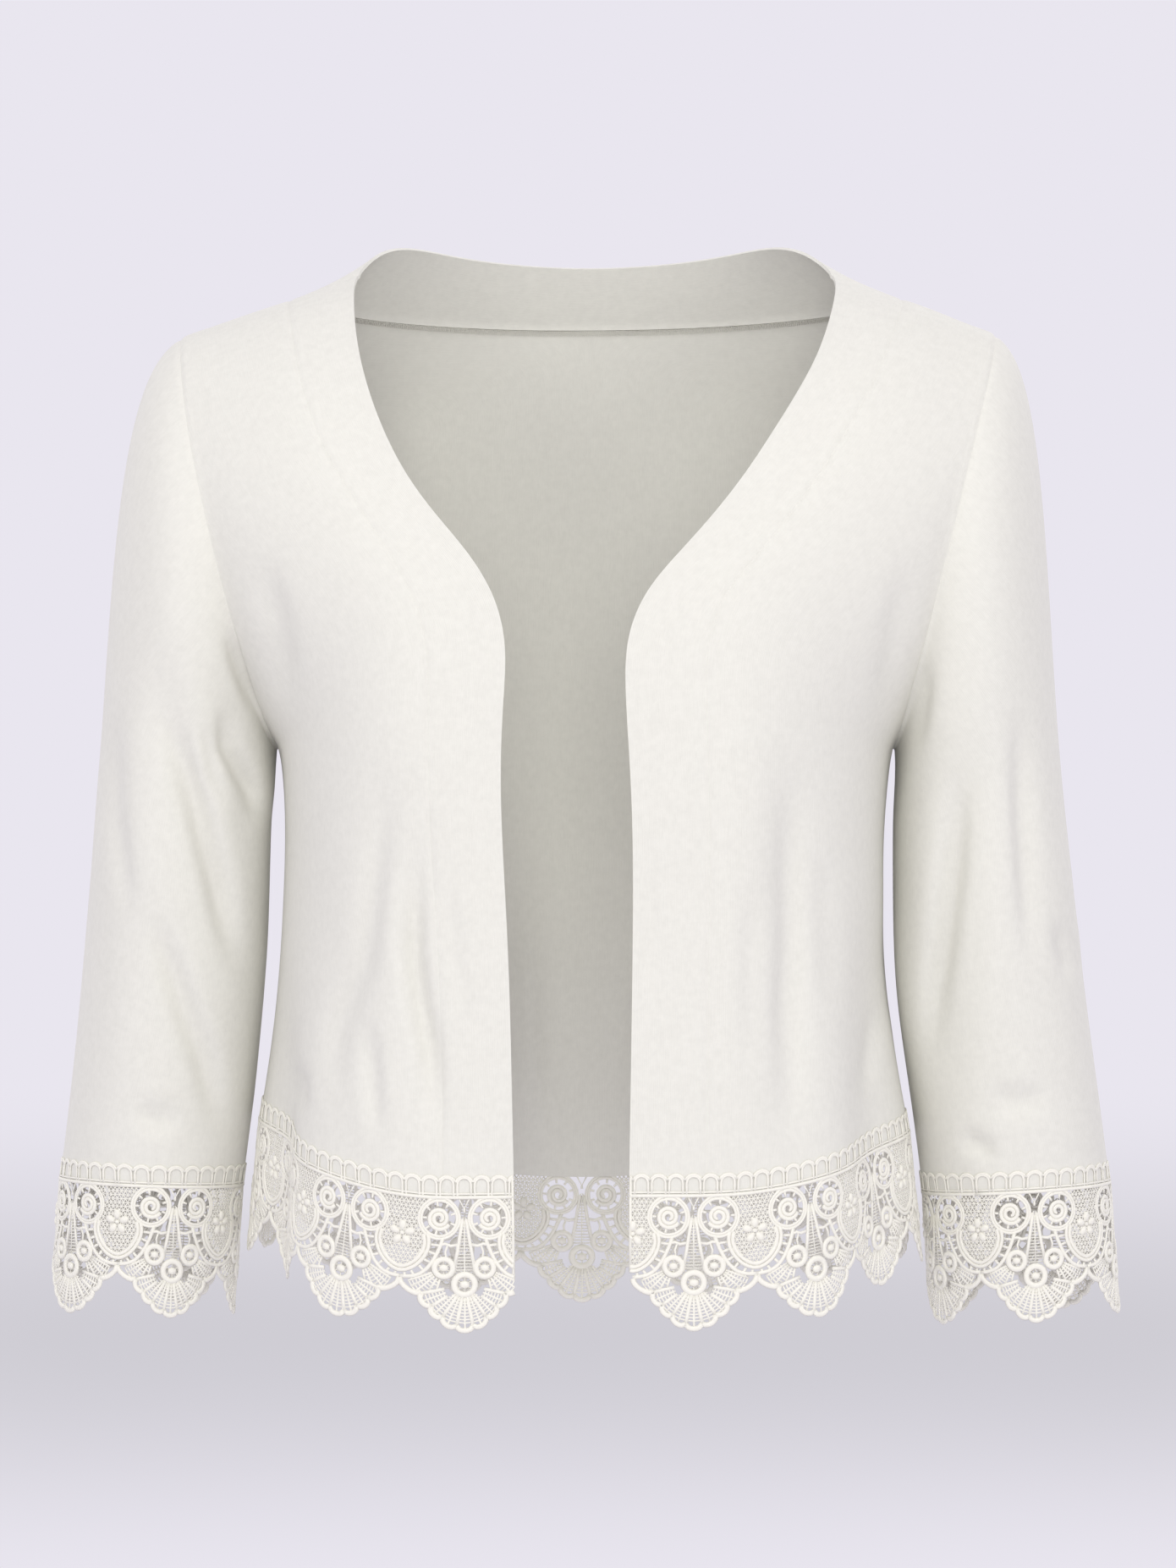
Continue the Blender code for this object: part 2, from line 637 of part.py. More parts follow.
def sleeve_rows(side):
    """Rings of the sleeve, from the armhole over the cap and down to its hem."""
    hole = armhole_loop(side)
    count = len(hole)
    table = SLEEVE_RINGS[side]
    first = ring_points(side, ring_at(side, table[0].z), count)
    below = ring_points(side, ring_at(side, table[1].z), count)
    rows = [[] for _ in range(CAP_ROWS + 1)]
    for j in range(count):
        turn = 2 * math.pi * j / count
        top = (1 - math.cos(turn)) / 2
        sideways = CAP_OUT[0] + (CAP_OUT[1] - CAP_OUT[0]) * top
        down = CAP_DOWN[0] + (CAP_DOWN[1] - CAP_DOWN[0]) * top
        out = Vector((side * sideways, -CAP_ASIDE * math.sin(turn), -down))
        span = (first[j] - hole[j]).length
        hold = CAP_HOLD_UNDERARM + (CAP_HOLD_TOP[side] - CAP_HOLD_UNDERARM) * top
        leave = hole[j] + out.normalized() * span * hold
        fall = (below[j] - first[j]).normalized()
        arrive = first[j] - fall * span * CAP_FALL
        column = interpolate_bezier(hole[j], leave, arrive, first[j], CAP_ROWS + 1)
        for row, point in zip(rows, column):
            row.append(point)
    foot = table[-1].z
    heights = even(table[0].z, foot + HEADER_HEIGHT, FOREARM_ROWS) + [foot]
    rows += [ring_points(side, ring_at(side, z), count) for z in heights]
    return [row + row[:1] for row in rows[::-1]]


def drape_rows(rows):
    return [[draped(p) for p in row] for row in rows]


class Facing:
    """The outward direction at each point, shared by every panel that meets there, so that walls are mitred."""

    MEETING = 0.00005
    STEEPEST_MITRE = 0.6

    def __init__(self, sheets):
        self.corners = []
        for sheet in sheets:
            for face in sheet.faces:
                places = [sheet.points[i] for i in face]
                normal = face_normal(places)
                for i, here in enumerate(places):
                    before, after = places[i - 1], places[(i + 1) % len(places)]
                    self.corners.append((here, normal, (before - here).angle(after - here, 0.0)))
        self.tree = KDTree(len(self.corners))
        for i, corner in enumerate(self.corners):
            self.tree.insert(corner[0], i)
        self.tree.balance()

    def at(self, place):
        found = [self.corners[i][1:] for _, i, _ in self.tree.find_range(place, self.MEETING)]
        total = sum((normal * angle for normal, angle in found), Vector()).normalized()
        lean = sum(max(normal.dot(total), 0.0) * angle for normal, angle in found)
        return total / max(lean / sum(angle for _, angle in found), self.STEEPEST_MITRE)


def face_normal(corners):
    return (corners[1] - corners[0]).cross(corners[2] - corners[0]).normalized()


def boundary_edges(faces):
    used = defaultdict(int)
    for face in faces:
        for i, a in enumerate(face):
            used[frozenset((a, face[(i + 1) % len(face)]))] += 1
    return [
        (a, face[(i + 1) % len(face)])
        for face in faces
        for i, a in enumerate(face)
        if used[frozenset((a, face[(i + 1) % len(face)]))] == 1
    ]


def trimmed(sheet):
    """The sheet's points, with its edges drawn in by half a seam's gap."""
    edges = boundary_edges(sheet.faces)
    along = defaultdict(Vector)
    for a, b in edges:
        run = sheet.points[b] - sheet.points[a]
        along[a] += run.normalized()
        along[b] += run.normalized()
    inward = defaultdict(Vector)
    for face in sheet.faces:
        middle = sum((sheet.points[i] for i in face), Vector()) / len(face)
        for i in face:
            if i in along:
                inward[i] += middle - sheet.points[i]
    points = [p.copy() for p in sheet.points]
    for i, run in along.items():
        if run.length > 1.2:
            run = run.normalized()
            inward[i] -= run * inward[i].dot(run)
        points[i] += inward[i].normalized() * SEAM_GAP / 2
    return points


def make_material(name, colour, roughness):
    material = bpy.data.materials.new(name)
    material.use_nodes = True
    shader = material.node_tree.nodes["Principled BSDF"]
    shader.inputs["Base Color"].default_value = colour
    shader.inputs["Roughness"].default_value = roughness
    shader.inputs["Metallic"].default_value = 0.0
    return material


def add_object(name, mesh, material):
    mesh.materials.append(material)
    piece = bpy.data.objects.new(name, mesh)
    JACKET.objects.link(piece)
    mesh.shade_smooth()
    mesh.set_sharp_from_angle(angle=math.radians(50))
    return piece


def make_wall(name, sheet, facing, thickness, material):
    """A closed wall: the sheet outside, its offset inside, and a rim along every edge."""
    work = bmesh.new()
    outer = [work.verts.new(p) for p in trimmed(sheet)]
    inner = []
    for vertex, place in zip(outer, sheet.points):
        inner.append(work.verts.new(vertex.co - facing.at(place) * thickness))
    for face in sheet.faces:
        work.faces.new([outer[i] for i in face])
        work.faces.new([inner[i] for i in reversed(face)])
    for a, b in boundary_edges(sheet.faces):
        if key_of(sheet.points[a]) < key_of(sheet.points[b]):
            rim = (outer[b], outer[a], inner[b]), (outer[a], inner[a], inner[b])
        else:
            rim = (outer[b], outer[a], inner[a]), (outer[b], inner[a], inner[b])
        for corners in rim:
            work.faces.new(corners)
    mesh = bpy.data.meshes.new(name)
    work.to_mesh(mesh)
    work.free()
    return add_object(name, mesh, material)


class Guide:
    """The lower edge of a garment wall, which carries a lace trim: a point, the point above it at the
    top of the trim's header, and the outward direction, for each column of the wall."""

    def __init__(self, feet, heads, facing):
        self.feet, self.heads = feet, heads
        self.outs = [facing.at(p) for p in feet]
        self.reach = [0.0]
        for a, b in zip(feet, feet[1:]):
            self.reach.append(self.reach[-1] + (b - a).length)
        self.length = self.reach[-1]

    def place(self, along, rise, proud):
        """The place of a point of flat lace, on the facets of the wall behind it."""
        i = 0
        while i < len(self.reach) - 2 and self.reach[i + 1] < along:
            i += 1
        part = (along - self.reach[i]) / (self.reach[i + 1] - self.reach[i])
        foot = self.feet[i].lerp(self.feet[i + 1], part)
        head = self.heads[i].lerp(self.heads[i + 1], part)
        out = self.outs[i].lerp(self.outs[i + 1], part)
        if rise >= 0:
            base = foot.lerp(head, rise / HEADER_HEIGHT)
        else:
            falls = [((f - h).normalized() + DOWN * LACE_PLUMB).normalized() for f, h in self.pairs(i)]
            base = foot + falls[0].lerp(falls[1], part) * -rise
        return base + out * (SEAM_GAP + LACE_CLEARANCE + proud)

    def pairs(self, i):
        return ((self.feet[i], self.heads[i]), (self.feet[i + 1], self.heads[i + 1]))

    def fold_patch(self, face, start):
        """Folds a patch of a flat header along the diagonal that the wall behind it has."""
        middle = start + face.calc_center_median().x
        i = sum(1 for r in self.reach[1:-1] if r < middle)
        (foot, head), (next_foot, next_head) = self.pairs(i)
        rising = (foot - next_head).length < (next_foot - head).length
        corners = sorted(face.verts, key=lambda v: v.co.x)
        near, far = (sorted(pair, key=lambda v: v.co.y) for pair in (corners[:2], corners[2:]))
        bmesh.utils.face_split(face, near[0] if rising else near[1], far[1] if rising else far[0])


def fan_point(turn, rise):
    """A point of the fan's edge, turned from its tip, and raised above the line of the petals' roots."""
    side = abs(math.sin(turn))
    radius = FAN_RADIUS_SHOULDER + (FAN_RADIUS_SIDE - FAN_RADIUS_SHOULDER) * side**8
    radius += (FAN_RADIUS_TIP - FAN_RADIUS_SHOULDER) * (1 - side) ** 2 + rise
    return math.sin(turn) * radius, -FAN_CENTRE_DROP - math.cos(turn) * radius


def fan_outline(width):
    """The scalloped lower edge of one repeat, from its left valley to its right one."""
    last_turn = PETAL_TURN * (PETALS_EACH_SIDE + 0.5)
    arc = [math.sin(math.pi * i / PETAL_STEPS) for i in range(PETAL_STEPS)]
    petals = []
    for petal in range(2 * PETALS_EACH_SIDE + 1):
        for i, swell in enumerate(arc):
            turn = PETAL_TURN * (petal + i / PETAL_STEPS) - last_turn
            petals.append(fan_point(turn, PETAL_HEIGHT * swell))
    petals.append(fan_point(last_turn, 0.0))
    valley, root = Vector((-width / 2, -VALLEY_DEPTH)), Vector(petals[0])
    run = root - valley
    below = Vector((run.y, -run.x)).normalized()
    end_petal = [valley + run * (i / PETAL_STEPS) + below * (END_PETAL_HEIGHT * s) for i, s in enumerate(arc)]
    mirrored = [Vector((-p.x, p.y)) for p in end_petal[:0:-1]]
    return [tuple(p) for p in end_petal] + petals + [tuple(p) for p in mirrored]


def lace_splines(width, repeats, lead, lag):
    """The outline of a strip of lace, and the outlines of the gaps cut through it. Its first repeat is
    longer than the rest by the lead, and its last one is longer by the lag."""
    cut = SEAM_GAP / 2
    left, right = cut - lead, width * repeats + lag - cut
    outline = [(left, HEADER_HEIGHT), (right, HEADER_HEIGHT), (right, -VALLEY_DEPTH)]
    lower = [(left, -VALLEY_DEPTH)]
    for k in range(repeats):
        lower += [((k + 0.5) * width + x, y) for x, y in fan_outline(width)]
    outline += [(x, y) for x, y in lower[::-1] if left <= x < right - 0.0005]
    gaps = []
    for k in range(repeats):
        middle = (k + 0.5) * width
        gaps.append([(middle + x, y) for x, y in LACE_GAPS[0]])
        for pattern in LACE_GAPS[1:]:
            gaps.append([(middle + x, y) for x, y in pattern])
            gaps.append([(middle - x, y) for x, y in pattern])
    return [outline] + gaps


def flat_lace(name, width, repeats, lead, lag):
    """A strip of lace as a filled flat outline, lying on its back."""
    curve = bpy.data.curves.new(name + "_outline", "CURVE")
    curve.dimensions = "2D"
    curve.fill_mode = "BOTH"
    curve.extrude = LACE_WALL / 2
    for loop in lace_splines(width, repeats, lead, lag):
        spline = curve.splines.new("POLY")
        spline.points.add(len(loop) - 1)
        for point, (x, y) in zip(spline.points, loop):
            point.co = (x, y, 0, 1)
        spline.use_cyclic_u = True
    drawn = bpy.data.objects.new(name + "_outline", curve)
    JACKET.objects.link(drawn)
    graph = bpy.context.evaluated_depsgraph_get()
    mesh = bpy.data.meshes.new_from_object(drawn.evaluated_get(graph))
    bpy.data.objects.remove(drawn)
    mesh.materials.clear()
    mesh.name = name
    return mesh


def make_lace(name, guide, width, start, repeats, material, lead=0.0, lag=0.0):
    """A strip of lace, bent at every column of the wall that carries it and laid on its outside."""
    mesh = flat_lace(name, width, repeats, lead, lag)
    work = bmesh.new()
    work.from_mesh(mesh)
    bmesh.ops.remove_doubles(work, verts=work.verts, dist=0.00001)
    bends = [(Vector((0, 0, 0)), Vector((0, 1, 0)))]
    for reach in guide.reach:
        if start - lead < reach < start + width * repeats + lag:
            bends.append((Vector((reach - start, 0, 0)), Vector((1, 0, 0))))
    for place, across in bends:
        everything = work.verts[:] + work.edges[:] + work.faces[:]
        made = bmesh.ops.bisect_plane(work, geom=everything, dist=0.00002, plane_co=place, plane_no=across)
        for edge in made["geom_cut"]:
            if isinstance(edge, bmesh.types.BMEdge):
                edge.seam = True
    join_flat_faces(work)
    for face in work.faces[:]:
        if face.calc_center_median().y > 0 and abs(face.normal.z) > 0.9 and len(face.verts) == 4:
            guide.fold_patch(face, start)
    bmesh.ops.triangulate(work, faces=work.faces)
    for vertex in work.verts:
        flat = vertex.co.copy()
        vertex.co = guide.place(start + flat.x, flat.y, flat.z + LACE_WALL / 2)
    work.to_mesh(mesh)
    work.free()
    return add_object(name, mesh, material)


def join_flat_faces(work):
    """Joins faces that lie in one plane, but not across a bend, and drops points that no bend needs."""
    flat = math.radians(0.5)
    bmesh.ops.dissolve_limit(work, angle_limit=flat, verts=work.verts, edges=work.edges, delimit={"SEAM"})
    spare = [v for v in work.verts if len(v.link_edges) == 2 and v.calc_edge_angle(math.pi) < flat]
    bmesh.ops.dissolve_verts(work, verts=spare)


def build():
    jersey = make_material("white_jersey", JERSEY_COLOUR, 0.85)
    lace = make_material("white_guipure_lace", LACE_COLOUR, 0.80)
    names = {LEFT: "left", RIGHT: "right"}
    sheets = {}
    rows = {}
    for side, word in names.items():
        turned = side == LEFT
        rows["front", side] = drape_rows(front_rows(side))
        rows["band", side] = drape_rows(band_rows(side))
        rows["back", side] = drape_rows(back_rows(side))
        rows["sleeve", side] = drape_rows(sleeve_rows(side))
        for piece, flip in (("front", turned), ("band", turned), ("sleeve", turned)):
            sheet = sheets[f"{piece}_{word}"] = Sheet()
            sheet.add_rows(rows[piece, side], flip)
    back = sheets["back"] = Sheet()
    back.add_rows(rows["back", LEFT], False)
    back.add_rows(rows["back", RIGHT], True)
    neck = sheets["neck_band"] = Sheet()
    neck.add_rows(drape_rows(neck_band_rows()), True)
    facing = Facing(sheets.values())
    for name, sheet in sheets.items():
        thickness = BAND_WALL if "band" in name else JERSEY_WALL
        make_wall(name, sheet, facing, thickness, jersey)

    feet, heads = [], []
    for row, line in ((0, feet), (1, heads)):
        line += rows["band", RIGHT][row][:-1] + rows["front", RIGHT][row][:-1]
        line += rows["back", RIGHT][row][::-1][:-1] + rows["back", LEFT][row][:-1]
        line += rows["front", LEFT][row][::-1][:-1] + rows["band", LEFT][row][::-1]
    hem = Guide(feet, heads, facing)
    width = (hem.length - FIRST_FAN_RIGHT - FIRST_FAN_LEFT) / (HEM_REPEATS - 1)
    lead, lag = FIRST_FAN_RIGHT - width / 2, FIRST_FAN_LEFT - width / 2
    back_repeats = HEM_REPEATS - 2 * FRONT_LACE_REPEATS
    back_start = lead + width * FRONT_LACE_REPEATS
    left_start = back_start + width * back_repeats
    make_lace("hem_lace_right", hem, width, lead, FRONT_LACE_REPEATS, lace, lead=lead)
    make_lace("hem_lace_back", hem, width, back_start, back_repeats, lace)
    make_lace("hem_lace_left", hem, width, left_start, FRONT_LACE_REPEATS, lace, lag=lag)

    for side, word in names.items():
        ring, above = rows["sleeve", side][0], rows["sleeve", side][1]
        if side == LEFT:
            ring, above = ring[::-1], above[::-1]
        cuff = Guide(ring + ring[1:], above + above[1:], facing)
        width = cuff.length / 2 / CUFF_REPEATS
        front_start = width * CUFF_LACE_START[side]
        back_start = front_start + width * CUFF_FRONT_REPEATS
        make_lace(f"cuff_lace_{word}_a", cuff, width, front_start, CUFF_FRONT_REPEATS, lace)
        make_lace(f"cuff_lace_{word}_b", cuff, width, back_start, CUFF_REPEATS - CUFF_FRONT_REPEATS, lace)


for old in list(bpy.data.objects):
    bpy.data.objects.remove(old)
JACKET = bpy.data.collections.new("bolero_jacket")
bpy.context.scene.collection.children.link(JACKET)
build()
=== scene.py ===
"""Bolero jacket, dressed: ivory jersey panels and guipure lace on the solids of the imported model.

Everything is in metres in the model's own frame: +X to the viewer's right, the open front towards -Y, +Z up,
with the origin where the shoulders carry the jacket.
"""

import math

import bmesh
import bpy
import numpy as np
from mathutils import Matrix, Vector
from mathutils.bvhtree import BVHTree
from mathutils.kdtree import KDTree


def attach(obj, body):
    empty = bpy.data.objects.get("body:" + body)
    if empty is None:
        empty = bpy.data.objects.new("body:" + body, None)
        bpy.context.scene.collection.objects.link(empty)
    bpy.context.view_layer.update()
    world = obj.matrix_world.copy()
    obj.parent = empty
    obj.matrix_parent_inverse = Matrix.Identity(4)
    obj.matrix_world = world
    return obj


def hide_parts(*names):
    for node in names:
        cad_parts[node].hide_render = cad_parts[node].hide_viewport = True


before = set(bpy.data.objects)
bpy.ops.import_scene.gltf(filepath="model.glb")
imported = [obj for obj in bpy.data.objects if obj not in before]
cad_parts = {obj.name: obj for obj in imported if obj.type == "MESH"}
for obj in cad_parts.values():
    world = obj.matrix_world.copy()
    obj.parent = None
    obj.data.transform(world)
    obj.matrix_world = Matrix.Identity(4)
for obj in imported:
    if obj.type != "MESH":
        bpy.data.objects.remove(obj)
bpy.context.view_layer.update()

bpy.ops.object.select_all(action="DESELECT")


# Camera
# A long lens level with the middle of the jacket, square to its open front, as the photograph was taken.
CAMERA_DISTANCE = 3.5
CAMERA_HEIGHT = -0.263
FRAME_HEIGHT = 0.7783
SENSOR_HEIGHT = 36

bpy.ops.object.camera_add(location=(0, -CAMERA_DISTANCE, CAMERA_HEIGHT), rotation=(math.radians(90), 0, 0))
camera = bpy.context.object
camera.data.sensor_fit = "VERTICAL"
camera.data.sensor_height = SENSOR_HEIGHT
camera.data.lens = SENSOR_HEIGHT * CAMERA_DISTANCE / FRAME_HEIGHT
camera.data.clip_end = 50
bpy.context.scene.camera = camera


# Cloth sheets
# The jacket's panels, cut from one roll of fine ivory jersey and sewn edge to edge. Each starts as the outer
# face of its solid's wall, in rows of quads laid out flat for the knit, and all are sewn before they are
# shaped, so that one smooth surface runs over every seam.

# Each panel has the ways its sheets look. The back is laid out in halves, because its rows part at the neck.
CLOTH_PANELS = {
    "front_left": [(0, -1, 0)],
    "front_right": [(0, -1, 0)],
    "band_left": [(0, -1, 0)],
    "band_right": [(0, -1, 0)],
    "back": [(-0.6, 1, 0), (0.6, 1, 0)],
    "neck_band": [(0, 1, 0.3)],
    "sleeve_left": [(-1, 0, 0)],
    "sleeve_right": [(1, 0, 0)],
}

# A sheet grows over its outer face as far as edges of the rim's angle, and leaves out the rims' narrow faces.
CENTRE_BACK = -0.003
RIM_ANGLE = math.radians(48)
WIDEST_RIM = 0.0029
FACING_REACH = 0.02
HEM_BELOW = -0.40
LEVEL_SLOPE = 0.6
NECK_BAND_END = -0.11
NECK_BAND_END_DEPTH = 0.004
SAME_CORNER = 0.00002
SEWN_WITHIN = 0.0005
SMOOTHING = 3


def only(piece):
    """Selects one piece alone and makes it active."""
    bpy.ops.object.select_all(action="DESELECT")
    piece.select_set(True)
    bpy.context.view_layer.objects.active = piece


def outer_sheet(node, outward):
    """A copy of a node's mesh, merged, with only the outer face of its wall left."""
    sheet = bpy.data.objects.new(node + "_cloth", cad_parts[node].data.copy())
    bpy.context.collection.objects.link(sheet)
    only(sheet)
    sheet.data.materials.clear()
    bpy.ops.mesh.customdata_custom_splitnormals_clear()
    bpy.ops.object.mode_set(mode="EDIT")
    bpy.ops.mesh.select_mode(type="FACE")
    bpy.ops.mesh.select_all(action="SELECT")
    bpy.ops.mesh.remove_doubles(threshold=SAME_CORNER)
    bpy.ops.mesh.select_all(action="DESELECT")
    cage = bmesh.from_edit_mesh(sheet.data)
    way = Vector(outward)
    seed = max(cage.faces, key=lambda f: (f.calc_center_median() + f.normal * FACING_REACH).dot(way))
    seed.select_set(True)
    cage.faces.active = seed
    bpy.ops.mesh.faces_select_linked_flat(sharpness=RIM_ANGLE)
    for face in cage.faces:
        rim = min(e.calc_length() for e in face.edges) < WIDEST_RIM
        other_half = node == "back" and (face.calc_center_median().x - CENTRE_BACK) * outward[0] < 0
        if rim or other_half:
            face.select_set(False)
    bpy.ops.mesh.select_all(action="INVERT")
    bpy.ops.mesh.delete(type="FACE")
    return sheet


def on_lower_edge(edge):
    """Whether an edge lies on a panel's open lower edge, at the hem or at a cuff."""
    a, b = (v.co for v in edge.verts)
    level = abs(a.z - b.z) < LEVEL_SLOPE * (a - b).length
    return edge.is_boundary and max(a.z, b.z) < HEM_BELOW and level


def on_band_end(edge):
    """Whether an edge lies on the neck band's left end, at the shoulder seam."""
    a, b = (v.co for v in edge.verts)
    at_shoulder = max(abs(a.y), abs(b.y)) < NECK_BAND_END_DEPTH
    return edge.is_boundary and max(a.x, b.x) < NECK_BAND_END and at_shoulder


def rows_of(cage, starts_rows):
    """A sheet's points as rows, up from the edges that start them, each in order from side to side."""
    row = {v for e in cage.edges if starts_rows(e) for v in e.verts}
    seen = set()
    rows = []
    while row:
        seen |= row
        joined = {v: [o for e in v.link_edges if (o := e.other_vert(v)) in row] for v in row}
        ends = [v for v in row if len(joined[v]) == 1] or list(row)
        line = [min(ends, key=lambda v: (round(abs(v.co.x), 4), v.co.y))]
        while len(line) < len(row):
            onward = [v for v in joined[line[-1]] if v not in line[-2:]]
            line.append(max(onward, key=lambda v: -v.co.y) if len(line) == 1 else onward[0])
        rows.append(line)
        row = {o for v in line for e in v.link_edges if (o := e.other_vert(v)) not in seen}
    for low, high in zip(rows, rows[1:]):
        pairs = [
            (sum((a.co - b.co).length for a, b in zip(low, turned)), turned)
            for turned in turns_of(high)
            if all(any(e.other_vert(a) == b for e in a.link_edges) for a, b in zip(low, turned))
        ]
        high[:] = min(pairs, key=lambda p: p[0])[1]
    return rows


def turns_of(line):
    """A row of points read from either end, and where it is a ring, from any of its points."""
    ring = any(e.other_vert(line[0]) == line[-1] for e in line[0].link_edges)
    starts = range(len(line)) if ring else [0]
    for way in (line, line[::-1]):
        for i in starts:
            yield way[i:] + way[:i]


def numbered(rows):
    """The row and the column of each point."""
    return {v: (i, j) for i, line in enumerate(rows) for j, v in enumerate(line)}


def lay_flat(sheet):
    """Joins a sheet's triangles into quads and lays it out flat in metres, rows across and columns up."""
    starts_rows = on_band_end if sheet.name.startswith("neck") else on_lower_edge
    cage = bmesh.from_edit_mesh(sheet.data)
    place = numbered(rows_of(cage, starts_rows))
    bpy.ops.mesh.select_mode(type="EDGE")
    bpy.ops.mesh.select_all(action="DESELECT")
    for edge in cage.edges:
        (i, j), (k, m) = (place[v] for v in edge.verts)
        edge.select_set(i != k and j != m)
    bpy.ops.mesh.dissolve_edges(use_verts=False)
    cage = bmesh.from_edit_mesh(sheet.data)
    rows = rows_of(cage, starts_rows)
    place = numbered(rows)
    columns = len(rows[0])
    across = [lengths([v.co for v in line + line[:1]]) for line in rows]
    up = [lengths([line[j].co for line in rows]) for j in range(columns)]
    flat = cage.loops.layers.uv.new("flat")
    for face in cage.faces:
        around = {place[v][1] for v in face.verts} == {0, columns - 1}
        for loop in face.loops:
            i, j = place[loop.vert]
            loop[flat].uv = across[i][columns if around and j == 0 else j], up[j][i]
    bmesh.update_edit_mesh(sheet.data)
    bpy.ops.object.mode_set(mode="OBJECT")


def lengths(points):
    """The length of a line up to each of its points."""
    reach = [0.0]
    for a, b in zip(points, points[1:]):
        reach.append(reach[-1] + (b - a).length)
    return reach


sheets = []
for index, (node, directions) in enumerate(CLOTH_PANELS.items()):
    for outward in directions:
        sheet = outer_sheet(node, outward)
        lay_flat(sheet)
        mark = sheet.data.attributes.new("panel", "INT", "FACE")
        mark.data.foreach_set("value", [index] * len(sheet.data.polygons))
        sheets.append(sheet)

for sheet in sheets:
    sheet.select_set(True)
bpy.ops.object.join()
cloth = bpy.context.object
cloth.name = "cloth"
bpy.ops.object.mode_set(mode="EDIT")
bpy.ops.mesh.select_mode(type="VERT")
bpy.ops.mesh.select_all(action="SELECT")
bpy.ops.mesh.remove_doubles(threshold=SEWN_WITHIN)
bpy.ops.object.mode_set(mode="OBJECT")

# The back-neck seam is held as a firm line, since the back's columns part there.
cage = bmesh.new()
cage.from_mesh(cloth.data)
mark = cage.faces.layers.int["panel"]
firm = cage.edges.layers.float.new("crease_edge")
for edge in cage.edges:
    if {list(CLOTH_PANELS)[face[mark]] for face in edge.link_faces} == {"back", "neck_band"}:
        edge[firm] = 1.0
cage.to_mesh(cloth.data)
cage.free()
finer = cloth.modifiers.new("finer", "SUBSURF")
finer.levels = SMOOTHING
finer.render_levels = SMOOTHING
finer.boundary_smooth = "PRESERVE_CORNERS"
bpy.ops.object.modifier_apply(modifier="finer")
cloth.data.shade_smooth()


# Creases
# Light jersey hangs in soft troughs: from the underarms down the sleeves, beside the front bands and up from
# the flared hem. Each is pressed in as a line of places on its panel, seen from the front, with its own
# width and depth, and stands between two low ridges.
FRONT = -1
BACK = 1

